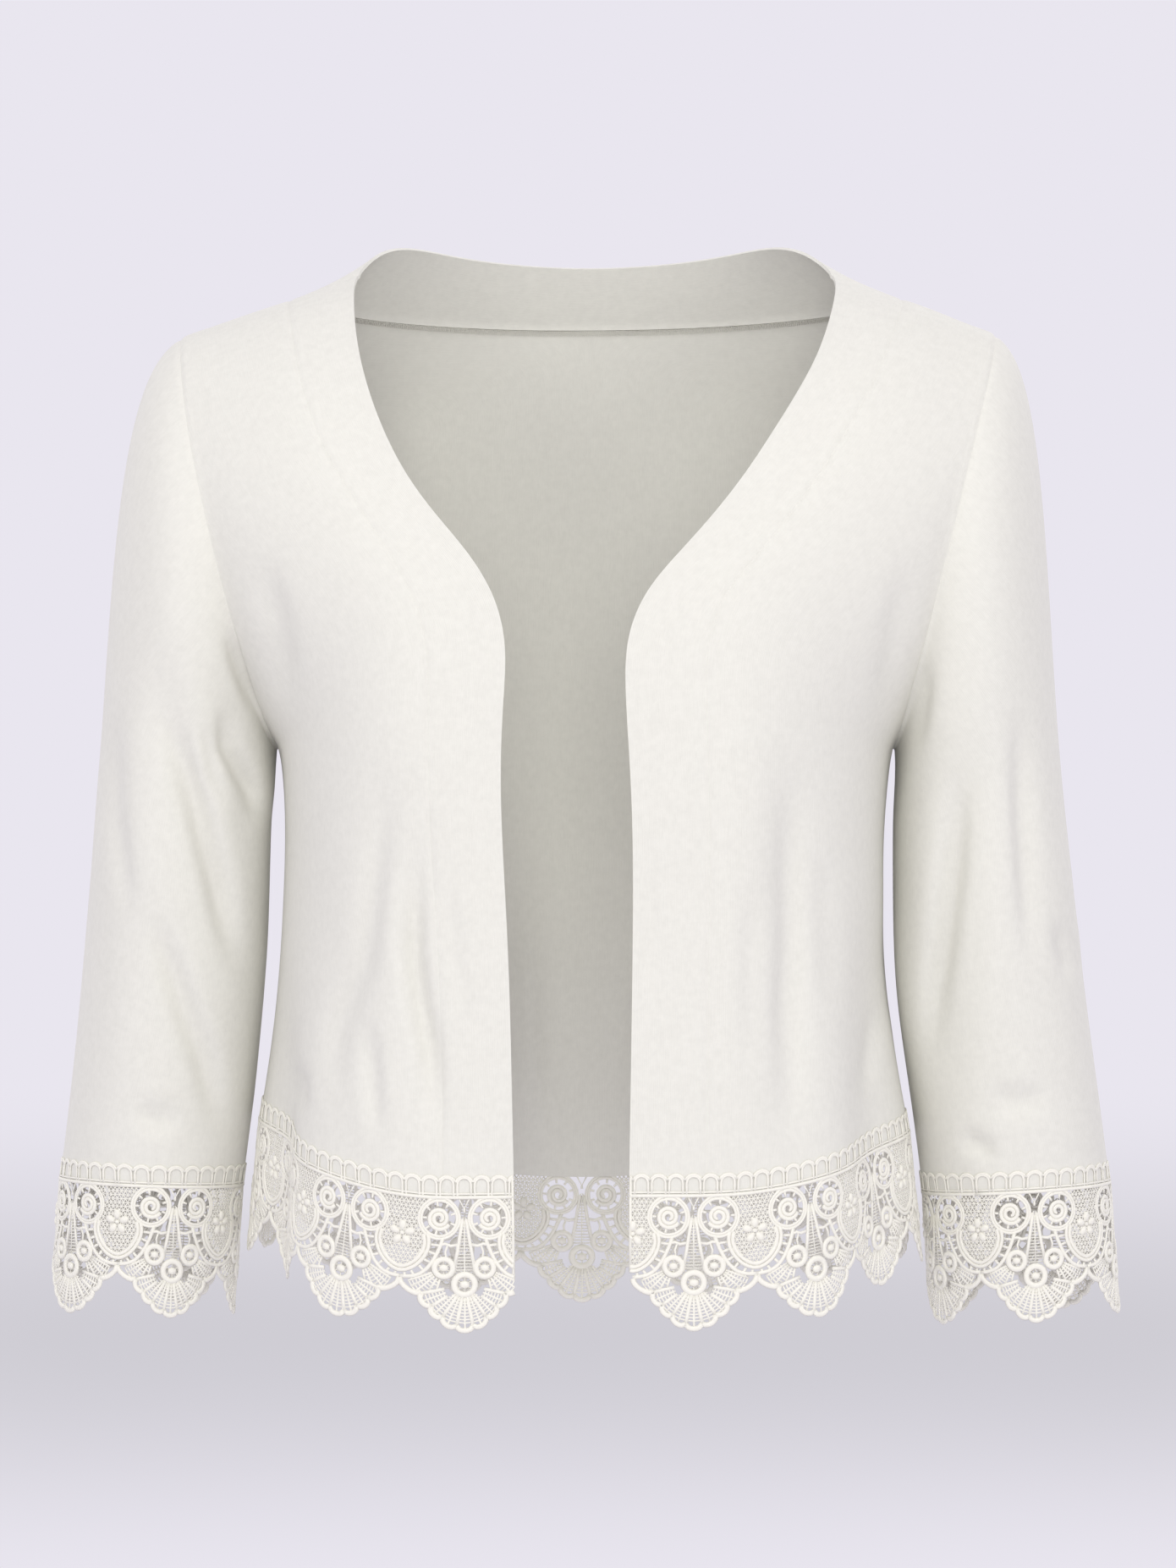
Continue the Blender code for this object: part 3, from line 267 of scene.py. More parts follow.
# Panel, face, width and depth, and the line's places across and up, in millimetres.
CREASES = [
    ("sleeve_left", FRONT, 4.3, 6.0, [(-207, -222), (-192, -272), (-183, -307), (-176, -339), (-168, -363)]),
    ("sleeve_left", FRONT, 3.5, 4.7, [(-179, -222), (-176, -246), (-166, -266), (-161, -285)]),
    ("sleeve_left", FRONT, 3.1, 2.2, [(-188, -229), (-183, -259), (-178, -276)]),
    ("sleeve_left", FRONT, 3.9, 2.6, [(-233, -220), (-233, -276), (-227, -315), (-224, -337)]),
    ("sleeve_left", FRONT, 4.3, 4.9,
     [(-214, -322), (-205, -351), (-198, -374), (-190, -396), (-182, -429), (-177, -441)]),
    ("sleeve_left", FRONT, 4.7, 2.6, [(-226, -424), (-212, -428), (-198, -427)]),
    ("sleeve_left", FRONT, 3.1, 3.0, [(-177, -185), (-170, -207), (-161, -231)]),
    ("sleeve_left", BACK, 4.3, 4.1, [(-190, -200), (-200, -262), (-207, -320), (-203, -360)]),
    ("sleeve_left", BACK, 3.5, 3.4, [(-172, -226), (-180, -280), (-186, -330), (-181, -371)]),
    ("sleeve_left", BACK, 3.9, 2.6, [(-232, -300), (-226, -352), (-217, -412)]),
    ("sleeve_right", FRONT, 4.3, 5.6, [(183, -251), (180, -293), (176, -329), (172, -361), (169, -402)]),
    ("sleeve_right", FRONT, 3.9, 3.4, [(210, -220), (214, -293), (218, -357)]),
    ("sleeve_right", FRONT, 3.9, 3.0, [(230, -329), (236, -347), (240, -362)]),
    ("sleeve_right", FRONT, 4.7, 2.6, [(194, -416), (212, -420), (230, -417)]),
    ("sleeve_right", FRONT, 3.5, 2.9, [(181, -437), (192, -441), (203, -446)]),
    ("sleeve_right", FRONT, 3.1, 2.6, [(166, -200), (163, -226), (160, -250)]),
    ("sleeve_right", BACK, 4.3, 4.1, [(186, -206), (194, -270), (196, -330), (190, -380)]),
    ("sleeve_right", BACK, 3.5, 3.1, [(214, -240), (222, -300), (220, -352)]),
    ("sleeve_right", BACK, 3.9, 2.3, [(172, -300), (180, -350), (188, -410)]),
    ("front_left", FRONT, 3.9, 5.6,
     [(-81, -285), (-83, -321), (-84, -344), (-81, -366), (-76, -393), (-74, -420), (-76, -440)]),
    ("front_left", FRONT, 4.7, 3.1,
     [(-94, -252), (-101, -297), (-108, -348), (-121, -380), (-123, -408), (-127, -425)]),
    ("front_left", FRONT, 3.1, 2.6, [(-139, -398), (-140, -412), (-139, -425)]),
    ("front_left", FRONT, 3.5, 2.5, [(-106, -372), (-104, -400), (-101, -438)]),
    ("front_left", FRONT, 5.5, 3.0, [(-158, -150), (-150, -190), (-146, -232)]),
    ("band_left", FRONT, 3.5, 1.3, [(-70, -302), (-63, -350), (-59, -384)]),
    ("front_right", FRONT, 5.0, 3.6,
     [(99, -248), (97, -292), (98, -337), (96, -373), (98, -408), (96, -440)]),
    ("front_right", FRONT, 5.5, 1.8, [(112, -290), (116, -340), (119, -378)]),
    ("front_right", FRONT, 3.5, 2.4, [(141, -366), (139, -388), (136, -416)]),
    ("front_right", FRONT, 4.7, 1.6, [(80, -300), (78, -352), (80, -410)]),
    ("front_right", FRONT, 5.5, 2.2, [(157, -150), (149, -192), (144, -236)]),
    ("band_right", FRONT, 2.7, 1.2, [(30, -287), (29, -328), (28, -364)]),
    ("back", BACK, 5.5, 4.6, [(-76, -250), (-84, -320), (-93, -390), (-97, -450)]),
    ("back", BACK, 4.7, 3.4, [(-30, -310), (-31, -372), (-27, -455)]),
    ("back", BACK, 4.7, 3.4, [(22, -330), (27, -390), (24, -455)]),
    ("back", BACK, 5.5, 4.3, [(64, -255), (73, -322), (84, -392), (88, -450)]),
    ("back", BACK, 4.7, 2.9, [(-124, -240), (-126, -300), (-132, -370)]),
    ("back", BACK, 4.7, 2.6, [(122, -246), (125, -310), (131, -376)]),
    ("back", BACK, 6.2, 2.6, [(-150, -120), (-128, -160), (-116, -214)]),
    ("back", BACK, 6.2, 2.3, [(148, -116), (128, -158), (117, -210)]),
]
MILLIMETRE = 0.001
RIDGE_SHARE = 0.34
RIDGE_WIDTH = 2.1
SOFT_ENDS = 0.38
EDGE_ON = -0.1
PAST_MIDDLE = -0.03


def soft_end(share):
    """Rises from nothing at a crease's ends to its whole depth in its middle stretch."""
    edge = np.clip(np.minimum(share, 1 - share) / SOFT_ENDS, 0, 1)
    return edge * edge * (3 - 2 * edge)


def crease_depth(places, line, width):
    """How deep each place lies in a crease: 1 on its line, under 0 on the ridge beside it, and 0 beyond."""
    line = np.array(line) * MILLIMETRE
    runs = np.diff(line, axis=0)
    steps = np.linalg.norm(runs, axis=1)
    start = np.concatenate([[0], np.cumsum(steps)[:-1]])
    nearest = np.full(len(places), np.inf)
    share = np.zeros(len(places))
    for point, run, step, begun in zip(line, runs, steps, start):
        along = np.clip(((places - point) @ run) / step**2, 0, 1)
        away = np.linalg.norm(places - point - along[:, None] * run, axis=1)
        closer = away < nearest
        nearest[closer] = away[closer]
        share[closer] = ((begun + along * step) / steps.sum())[closer]
    trough = np.exp(-((nearest / width) ** 2) / 2)
    ridge = np.exp(-((nearest / (width * RIDGE_WIDTH)) ** 2) / 2)
    return (trough * (1 + RIDGE_SHARE) - ridge * RIDGE_SHARE) * soft_end(share)


mesh = cloth.data
points = np.zeros(len(mesh.vertices) * 3)
mesh.vertices.foreach_get("co", points)
points = points.reshape(-1, 3)
normals = np.zeros(len(mesh.vertices) * 3)
mesh.vertex_normals.foreach_get("vector", normals)
normals = normals.reshape(-1, 3)
panel_of_face = np.zeros(len(mesh.polygons), int)
mesh.attributes["panel"].data.foreach_get("value", panel_of_face)
corners = np.zeros(len(mesh.loops), int)
mesh.loops.foreach_get("vertex_index", corners)
corner_panel = np.repeat(panel_of_face, [p.loop_total for p in mesh.polygons])
reaches = {name: np.zeros(len(points)) for name in CLOTH_PANELS}
for index, name in enumerate(CLOTH_PANELS):
    reaches[name][corners[corner_panel == index]] = 1
on_seam = np.flatnonzero(sum(reaches.values()) > 1)
on_body = (reaches["sleeve_left"] + reaches["sleeve_right"]) == 0

# A sleeve's creases stay on the sleeve. Those of the body may run on over its seams.
press = np.zeros(len(points))
for name, face, width, depth, line in CREASES:
    near = reaches[name] > 0 if name.startswith("sleeve") else on_body
    facing = near & (normals[:, 1] * face > EDGE_ON) & (points[:, 1] * face > PAST_MIDDLE)
    trough = crease_depth(points[facing][:, [0, 2]], line, width * MILLIMETRE)
    press[facing] -= depth * MILLIMETRE * trough

# Seams are narrow soft grooves, where the overlocked edges turn in.
SEAM_GROOVE = 0.0007
SEAM_HALF_WIDTH = 0.0014
seam_places = KDTree(len(on_seam))
for index in on_seam:
    seam_places.insert(points[index], int(index))
seam_places.balance()
seam_distance = np.array([seam_places.find(p)[2] for p in points])
press -= SEAM_GROOVE * np.exp(-((seam_distance / SEAM_HALF_WIDTH) ** 2))
points += normals * press[:, None]
mesh.vertices.foreach_set("co", points.ravel())
mesh.update()


# Jersey
# Ivory viscose jersey, knitted very fine: a dull white with a faint sheen at glancing angles, a slightly
# uneven yarn, and the columns of the knit running up each panel. They are drawn 0.9 mm apart, where real ones
# are about 0.6 mm, so that they are just coarse enough to show.
IVORY = "#E1E0D8"
IVORY_SHADE = "#DBDAD2"
WALE = 0.0009
WALE_HEIGHT = 0.00012

# The cloth's soft clouds are 4 mm wide, and the slubs of its yarn 0.7 mm and drawn out along the columns.
CLOUDS_PER_METRE = 260
SLUBS_PER_METRE = 1400
SLUB_STRETCH = 0.12


def linear(code):
    """An sRGB hex colour as the linear colour that a shader takes."""
    parts = [int(code[i:i + 2], 16) / 255 for i in (1, 3, 5)]
    return [c / 12.92 if c <= 0.04045 else ((c + 0.055) / 1.055) ** 2.4 for c in parts] + [1.0]


def add_node(tree, kind, settings=(), links=()):
    """A node with its own settings, the values of its sockets, and what is linked into them."""
    node = tree.nodes.new(kind)
    for name, value in dict(settings).items():
        if name in node.inputs:
            node.inputs[name].default_value = value
        else:
            setattr(node, name, value)
    for name, source in dict(links).items():
        tree.links.new(source, node.inputs[name])
    return node


def new_material(name, roughness, sheen):
    """A named dull finish with one shader, whose fixed values are set on its own sockets."""
    material = bpy.data.materials.new(name)
    material.use_nodes = True
    shader = material.node_tree.nodes["Principled BSDF"]
    shader.inputs["Roughness"].default_value = roughness
    shader.inputs["Sheen Weight"].default_value = sheen
    shader.inputs["Sheen Roughness"].default_value = 0.5
    shader.inputs["IOR"].default_value = 1.45
    shader.inputs["Specular IOR Level"].default_value = 0.3
    return material, material.node_tree, shader


jersey, knit, shader = new_material("viscose_jersey_ivory", 0.88, 0.12)
flat = add_node(knit, "ShaderNodeUVMap", {"uv_map": "flat"}).outputs["UV"]
place = add_node(knit, "ShaderNodeTexCoord").outputs["Object"]

settings = {"Scale": CLOUDS_PER_METRE, "Detail": 4.0, "Roughness": 0.6}
clouds = add_node(knit, "ShaderNodeTexNoise", settings, {"Vector": place})
yarn = add_node(knit, "ShaderNodeMapping", {"Scale": (1.0, SLUB_STRETCH, 1.0)}, {"Vector": flat})
settings = {"Scale": SLUBS_PER_METRE, "Detail": 3.0}
slubs = add_node(knit, "ShaderNodeTexNoise", settings, {"Vector": yarn.outputs["Vector"]})
settings = {"data_type": "FLOAT", "Factor": 0.4}
shades = add_node(knit, "ShaderNodeMix", settings, {"A": clouds.outputs["Fac"], "B": slubs.outputs["Fac"]})
tones = add_node(knit, "ShaderNodeValToRGB", {}, {"Fac": shades.outputs["Result"]})
dark_end, light_end = tones.color_ramp.elements
dark_end.position = 0.35
light_end.position = 0.62
dark_end.color = linear(IVORY_SHADE)
light_end.color = linear(IVORY)
knit.links.new(tones.outputs["Color"], shader.inputs["Base Color"])

# At a scale of one, the bands of a wave texture stand a twentieth of 2 pi apart.
wale_scale = 2 * math.pi / WALE / 20
settings = {"Scale": wale_scale, "bands_direction": "X", "Distortion": 0.6, "Detail": 2.0}
wales = add_node(knit, "ShaderNodeTexWave", settings, {"Vector": flat})
settings = {"data_type": "FLOAT", "Factor": 0.5}
relief = add_node(knit, "ShaderNodeMix", settings, {"A": wales.outputs["Fac"], "B": slubs.outputs["Fac"]})
settings = {"Strength": 0.25, "Distance": WALE_HEIGHT}
bump = add_node(knit, "ShaderNodeBump", settings, {"Height": relief.outputs["Result"]})
knit.links.new(bump.outputs["Normal"], shader.inputs["Normal"])


# Panels
# Each panel is cut out of the sewn sheet along its seams and given the thickness of its own cloth: one layer
# of jersey, or the doubled strip of the bands, folded over at its free edge.
LAYER = 0.0008
DOUBLED = 0.0015
FOLD_ANGLE = math.radians(50)

# Each panel's width and length laid flat, in metres, and the area of its cut.
PANEL_CUTS = {
    "front_left": ((0.192, 0.510), 0.058),
    "front_right": ((0.195, 0.520), 0.061),
    "band_left": ((0.040, 0.520), 0.018),
    "band_right": ((0.041, 0.528), 0.019),
    "back": ((0.424, 0.440), 0.175),
    "neck_band": ((0.048, 0.390), 0.014),
    "sleeve_left": ((0.350, 0.434), 0.108),
    "sleeve_right": ((0.350, 0.434), 0.109),
}
for index, name in enumerate(CLOTH_PANELS):
    panel = bpy.data.objects.new(name + "_jersey", cloth.data.copy())
    bpy.context.collection.objects.link(panel)
    cut = bmesh.new()
    cut.from_mesh(panel.data)
    mark = cut.faces.layers.int["panel"]
    bmesh.ops.delete(cut, geom=[f for f in cut.faces if f[mark] != index], context="FACES")
    cut.to_mesh(panel.data)
    cut.free()
    panel.data.materials.append(jersey)
    only(panel)
    wall = panel.modifiers.new("thickness", "SOLIDIFY")
    wall.thickness = DOUBLED if "band" in name else LAYER
    wall.offset = -1
    bpy.ops.object.modifier_apply(modifier="thickness")
    panel.data.shade_smooth()
    panel.data.set_sharp_from_angle(angle=FOLD_ANGLE)
    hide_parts(name)
    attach(panel, "root")
    flat_size, area = PANEL_CUTS[name]


# Guipure lace
# Satin cords and fine net, embroidered on a ground that is then dissolved, with a header of arches sewn over
# the cloth's edge. One repeat is drawn flat in millimetres, x from the fan's middle line and y from the
# header's lower edge, and the whole strip is laid round the edge that carries it.
REPEAT = 58.8
CORD_SIDES = 6
THREAD_SIDES = 4
STEP = 1.5
FLATTENED = 0.55
DOUBLE_CORD = 0.95
CLEAR_OF_EYE = 9.6
SAME_POINT = 0.00001

# The net is drawn coarser than real net, with its radius in THREAD and its pitch in NET, so that it shows.
NET = 1.9
THREAD = 0.33

EYE = (12.0, -9.3)
SMALL_RING = (9.7, -33.0)
FLOWER = (0.0, -17.4)
FAN_MIDDLE = (0.0, -41.0)
NOTCHES = [-77, -55, -33, -11, 11, 33, 55, 77]
VALLEY = (29.4, -38.5)
MEDALLION = [(11.0, -16.6), (12.0, -21.0), (10.9, -25.6), (8.3, -29.7), (4.6, -33.0), (0.0, -34.7)]
CHAIN = [
    (10.3, -19.2), (11.8, -23.6), (14.0, -28.4), (16.8, -33.0), (20.4, -36.4), (24.6, -37.9), (29.4, -38.2)
]
CHAIN_BARS = [
    ((11.4, -22.4), (15.7, -21.8)),
    ((13.2, -26.6), (16.6, -25.4)),
    ((15.4, -30.8), (18.6, -29.2)),
    ((18.6, -34.9), (20.9, -32.2)),
    ((22.7, -37.3), (24.4, -35.0)),
    ((26.9, -38.1), (27.4, -36.2)),
]


def arc(middle, radius, start, end, step=STEP):
    """Points along a circle's arc, angles in degrees from straight down towards the right."""
    count = max(3, round(radius * math.radians(abs(end - start)) / step))
    turns = [math.radians(start + (end - start) * i / count) for i in range(count + 1)]
    return [(middle[0] + radius * math.sin(a), middle[1] - radius * math.cos(a)) for a in turns]


def rounded(line, passes=2):
    """A line with its corners cut off again and again, its ends kept."""
    for _ in range(passes):
        inner = []
        for (a, b), (c, d) in zip(line, line[1:]):
            inner += [(0.75 * a + 0.25 * c, 0.75 * b + 0.25 * d), (0.25 * a + 0.75 * c, 0.25 * b + 0.75 * d)]
        line = [line[0]] + inner[1:-1] + [line[-1]]
    return line


def fan_radius(turn):
    """The fan's outer radius at the notches, in millimetres, as its solid has it."""
    side = abs(math.sin(math.radians(turn)))
    return 18.7 + 2.6 * side**8 + 3.9 * (1 - side)**2


def polar(turn, radius):
    """A point at an angle and a distance from the fan's middle."""
    a = math.radians(turn)
    return FAN_MIDDLE[0] + radius * math.sin(a), FAN_MIDDLE[1] - radius * math.cos(a)


def petal_edge(a, b, height):
    """The round free edge of one petal between two notches."""
    middle = ((a[0] + b[0]) / 2, (a[1] + b[1]) / 2)
    across = (b[0] - a[0], b[1] - a[1])
    length = math.hypot(*across)
    out = (across[1] / length, -across[0] / length)
    line = []
    for i in range(7):
        along = -1 + i / 3
        bulge = height * (1 - along * along) ** 0.6
        x = middle[0] + across[0] * along / 2 + out[0] * bulge
        y = middle[1] + across[1] * along / 2 + out[1] * bulge
        line.append((x, y))
    return line


def net_lines(inside, box, angles, pitch):
    """Net threads at some angles, each cut to the stretches that lie inside a shape."""
    left, low, right, high = box
    middle = ((left + right) / 2, (low + high) / 2)
    reach = math.hypot(right - left, high - low) / 2
    lines = []
    for angle in angles:
        a = math.radians(angle)
        way = (math.cos(a), math.sin(a))
        side = (-math.sin(a), math.cos(a))
        for k in range(-int(reach / pitch), int(reach / pitch) + 1):
            run = []
            for s in np.arange(-reach, reach + 0.01, 0.5):
                x = middle[0] + way[0] * s + side[0] * k * pitch
                y = middle[1] + way[1] * s + side[1] * k * pitch
                if inside(x, y):
                    run.append((x, y))
                elif run:
                    lines.append(run)
                    run = []
            if run:
                lines.append(run)
    return [line[:-1:9] + line[-1:] for line in lines if len(line) > 2]


def in_medallion(x, y):
    """Whether a place, measured from a valley, is in a medallion's net."""
    halves, heights = zip(*MEDALLION[::-1])
    half = np.interp(y, heights, halves) if y < MEDALLION[0][1] else REPEAT / 2
    beside = math.hypot(abs(x) - (REPEAT / 2 - EYE[0]), y - EYE[1]) > CLEAR_OF_EYE
    return -34.5 < y < 0.4 and abs(x) < half and beside


def half_fan(side):
    """The cords of one half of a fan, with its spiral, its small ring and its chain of holes."""
    def across(line):
        return [(x * side, y) for x, y in line]

    # The eye: two rings round a spiral, with nine short bars
    cords = [(across(arc(EYE, radius, 0, 360)[:-1]), 0.74, True) for radius in (9.8, 8.55)]
    turns = np.linspace(0, 2.15 * 360, 44)
    winding = [arc(EYE, 5.5 - 4.3 * i / 43, t, t, 1)[0] for i, t in enumerate(turns - 60)]
    cords.append((across(winding), [1.1] * 38 + [1.0, 0.95, 0.9, 0.8, 0.75, 0.6], False))
    for k in range(9):
        bar = [arc(EYE, r, 40 * k + 12, 40 * k + 12)[0] for r in (8.2, 5.9)]
        cords.append((across(bar), 0.6, False))

    # The long stem beside the middle ladder, and the small ring at its foot
    cords.append((across([(0.8, -9.6), (1.9, -16.0), (3.3, -25.0), (5.0, -33.6)]), 0.9, False))
    cords.append((across(arc(SMALL_RING, 4.3, 0, 360, 1.8)[:-1]), 1.5, True))
    pip = [(SMALL_RING[0] + x, SMALL_RING[1]) for x in (-2.0, -1.5, 0, 1.5, 2.0)]
    cords.append((across(pip), [0.6, 1.5, 2.0, 1.5, 0.6], False))
    for k in range(6):
        cords.append((across([arc(SMALL_RING, r, 60 * k, 60 * k)[0] for r in (3.3, 1.8)]), 0.3, False))

    # The chain of holes beside the medallion, with short bars to the ring and the eye
    cords.append((across(rounded(CHAIN)), 1.0, False))
    cords += [(across(bar), 0.7, False) for bar in CHAIN_BARS]
    cords.append((across([(3.2, -21.8), (6.5, -22.4), (9.0, -21.4), (11.0, -21.8)]), 0.8, False))
    cords.append((across([(8.0, -22.3), (9.0, -25.2), (8.6, -28.2)]), 0.55, False))
    cords.append((across([(13.0, -29.0), (12.2, -30.0)]), 0.7, False))

    # The last petal before the valley, and the net that joins it to the small ring
    edge = petal_edge(polar(77, fan_radius(77) - 1.0), (VALLEY[0], VALLEY[1] - 0.4), 2.2)
    cords.append((across(edge), 1.4, False))
    for turn, reach in ((17, 10.6), (31, 13.6), (46, 17.2), (56, 17.2), (66, 17.2)):
        bar = [arc(SMALL_RING, r, turn, turn)[0] for r in (5.8, reach / 2 + 2.9, reach)]
        cords.append((across(bar), 0.6, False))
    for radius in (7.4, 9.0, 10.6, 12.2, 13.8, 15.4, 16.9):
        low = 14 if radius < 10 else 26 if radius < 13 else 36
        high = 72 if radius < 16 else 66
        cords.append((across(arc(SMALL_RING, radius, low, high, radius * 0.19)), 0.4, False))
    return cords


def fan():
    """The cords of one fan from the header down to its petals, without the medallion beside it."""
    cords = half_fan(1) + half_fan(-1)

    # Ribs to the notches, and between them petals with a finer rib each
    for turn in NOTCHES:
        start = 6.0 if abs(turn) < 50 else 9.5
        rib = [polar(turn, r) for r in np.linspace(start, fan_radius(turn) - 0.6, 4)]
        cords.append((rib, 0.95, False))
    for a, b in zip(NOTCHES, NOTCHES[1:]):
        edge = petal_edge(polar(a, fan_radius(a) - 1.0), polar(b, fan_radius(b) - 1.0), 2.3)
        cords.append((edge, 1.4, False))
        middle = (a + b) / 2
        start = 6.0 if abs(middle) < 60 else 9.5
        rib = [polar(middle, r) for r in np.linspace(start, fan_radius(middle) + 0.6, 4)]
        cords.append((rib, 0.55, False))

    # Rows of net across the ribs, and the ring that they spread from
    for radius in np.arange(7.6, 18.6, 1.55):
        wide = 77 if radius > 10 else 52
        cords.append((arc(FAN_MIDDLE, radius, -wide, wide, radius * 0.19), 0.4, False))
    cords.append((arc(FAN_MIDDLE, 4.9, 0, 360, 1.8)[:-1], 1.65, True))
    pip = [(FAN_MIDDLE[0] + x, FAN_MIDDLE[1]) for x in (-2.2, -1.6, 0, 1.6, 2.2)]
    cords.append((pip, [0.6, 1.6, 2.2, 1.6, 0.6], False))
    for k in range(6):
        cords.append(([arc(FAN_MIDDLE, r, 60 * k, 60 * k)[0] for r in (4.0, 2.0)], 0.3, False))

    # The ladder between the two stems, with the small loop that hangs it from the header
    for share in (-0.5, 0, 0.5):
        cords.append(([(share * 1.2, -10.5), (share * 5.0, -22.0), (share * 9.0, -35.5)], 0.34, False))
    for y in np.arange(-11.5, -34.5, -1.5):
        half = 0.9 + (-10.0 - y) * 0.175
        cords.append(([(-half, y), (half, y)], THREAD, False))
    cords.append(([(-2.4, -0.2), (0, -4.6), (2.4, -0.2)], 0.5, False))
    cords.append(([(0, -4.4), (0, -6.2)], 0.6, False))
    return cords


def medallion():
    """The cords of the medallion under a valley: a double cord round net, with a flower of five petals."""
    cords = []
    line = [(-x, y) for x, y in MEDALLION] + MEDALLION[::-1][1:]
    line = np.array(rounded(line))
    away = np.gradient(line, axis=0)
    away = np.stack([away[:, 1], -away[:, 0]], 1) / np.linalg.norm(away, axis=1)[:, None]
    for offset in (-DOUBLE_CORD, DOUBLE_CORD):
        cords.append(([tuple(p) for p in line + away * offset], 0.98, False))
    for run in net_lines(in_medallion, (-13, -35, 13, 0.5), (0, 60, 120), NET):
        cords.append((run, THREAD, False))
    for k in range(5):
        turn = 180 + 72 * k
        petal = [arc(FLOWER, r, turn, turn)[0] for r in (1.4, 2.3, 3.9, 5.4, 6.2)]
        cords.append((petal, [0.7, 1.5, 2.1, 1.7, 0.7], False))
    pip = [(FLOWER[0] + x, FLOWER[1]) for x in (-1.1, -0.7, 0.7, 1.1)]
    cords.append((pip, [0.5, 1.1, 1.1, 0.5], False))
    return cords


def header(width):
    """The arches over one repeat, which stand on two cords along the edge of the cloth."""
    pitch = width / 7
    cords = []
    for k in range(7):
        x = -width / 2 + (k + 0.5) * pitch
        left_leg = [(x - 3.3, 1.6), (x - 3.3, 4.6)]
        right_leg = [(x + 3.3, 4.6), (x + 3.3, 1.6)]
        cords.append((left_leg + arc((x, 7.0), 3.3, 270, 90) + right_leg, 0.62, False))
        cords.append((arc((x, 6.6), 4.4, 247, 113), 0.72, False))
    for y, radius in ((0.8, 1.0), (2.5, 0.5)):
        cords.append(([(-width / 2 + width * i / 12, y) for i in range(13)], radius, False))
    return cords


def cut_to(cords, low, high):
    """The cords between the two ends of a strip, those that cross an end cut there."""
    kept = []
    for line, radius, closed in cords:
        if all(low <= x <= high for x, _ in line):
            kept.append((line, radius, closed))
            continue
        if not isinstance(radius, (int, float)):
            radius = max(radius)
        run = []
        for a, b in zip(line, line[1:] + line[:1] if closed else line[1:]):
            for end in (low, high):
                if (a[0] - end) * (b[0] - end) < 0:
                    share = (end - a[0]) / (b[0] - a[0])
                    meet = (end, a[1] + (b[1] - a[1]) * share)
                    if low <= a[0] <= high:
                        kept.append((run + [a, meet], radius, False))
                        run = None
                    else:
                        run = [meet]
            if run is None:
                run = []
            elif low <= a[0] <= high:
                run.append(a)
        if run and low <= line[-1][0] <= high and not closed:
            run.append(line[-1])
        kept.append((run, radius, False))
    return [cord for cord in kept if len(cord[0]) > 1]


def tubes(cords, sides):
    """Cords as round tubes with closed ends, along lines of points that are flat or in space."""
    curve = bpy.data.curves.new("cords", "CURVE")
    curve.dimensions = "3D"
    curve.twist_mode = "Z_UP"
    curve.bevel_depth = 1.0
    curve.bevel_resolution = (sides - 4) // 2  # which gives this many sides
    curve.use_fill_caps = True
    for line, radius, closed in cords:
        spline = curve.splines.new("POLY")
        spline.points.add(len(line) - 1)
        spline.points.foreach_set("co", [c for point in line for c in (*point, 0.0)[:3] + (1.0,)])
        radii = [radius] * len(line) if isinstance(radius, (int, float)) else radius
        spline.points.foreach_set("radius", radii)
        spline.use_cyclic_u = closed
        spline.use_smooth = True
    holder = bpy.data.objects.new("cords", curve)
    bpy.context.collection.objects.link(holder)
    only(holder)
    bpy.ops.object.convert(target="MESH")
    return bpy.context.object


def lower_edge(names):
    """The points of the open lower edge of some panels, without the panels' upright edges."""
    cage = bmesh.new()
    cage.from_mesh(cloth.data)
    mark = cage.faces.layers.int["panel"]
    wanted = [list(CLOTH_PANELS).index(name) for name in names]
    ends = set()
    for edge in cage.edges:
        if on_lower_edge(edge) and edge.link_faces[0][mark] in wanted:
            ends |= {tuple(v.co) for v in edge.verts}
    cage.free()
    return np.array(sorted(ends))


def smoothed(values, passes, ring):
    """Values along a line with each one evened out by its neighbours."""
    for _ in range(passes):
        if ring:
            values = (np.roll(values, 1, 0) + 2 * values + np.roll(values, -1, 0)) / 4
        else:
            values[1:-1] = (values[:-2] + 2 * values[1:-1] + values[2:]) / 4
    return values


def unit(vectors):
    """Vectors brought to a length of one."""
    return vectors / np.linalg.norm(vectors, axis=1)[:, None]


# The header is sewn over the cloth's edge. Below it the lace turns over within 8 mm to hang nearly plumb, and
# nearly square to its edge.
GUIDE_STEP = 0.0015
HEADER = 0.0115
PLUMB = 0.8
SQUARED = 0.6
PROUD = 0.0004
TURN_OVER = 0.008
SEWN_ABOVE = -0.0006
SEWN_REACH = 0.006
surface = BVHTree.FromObject(cloth, bpy.context.evaluated_depsgraph_get())


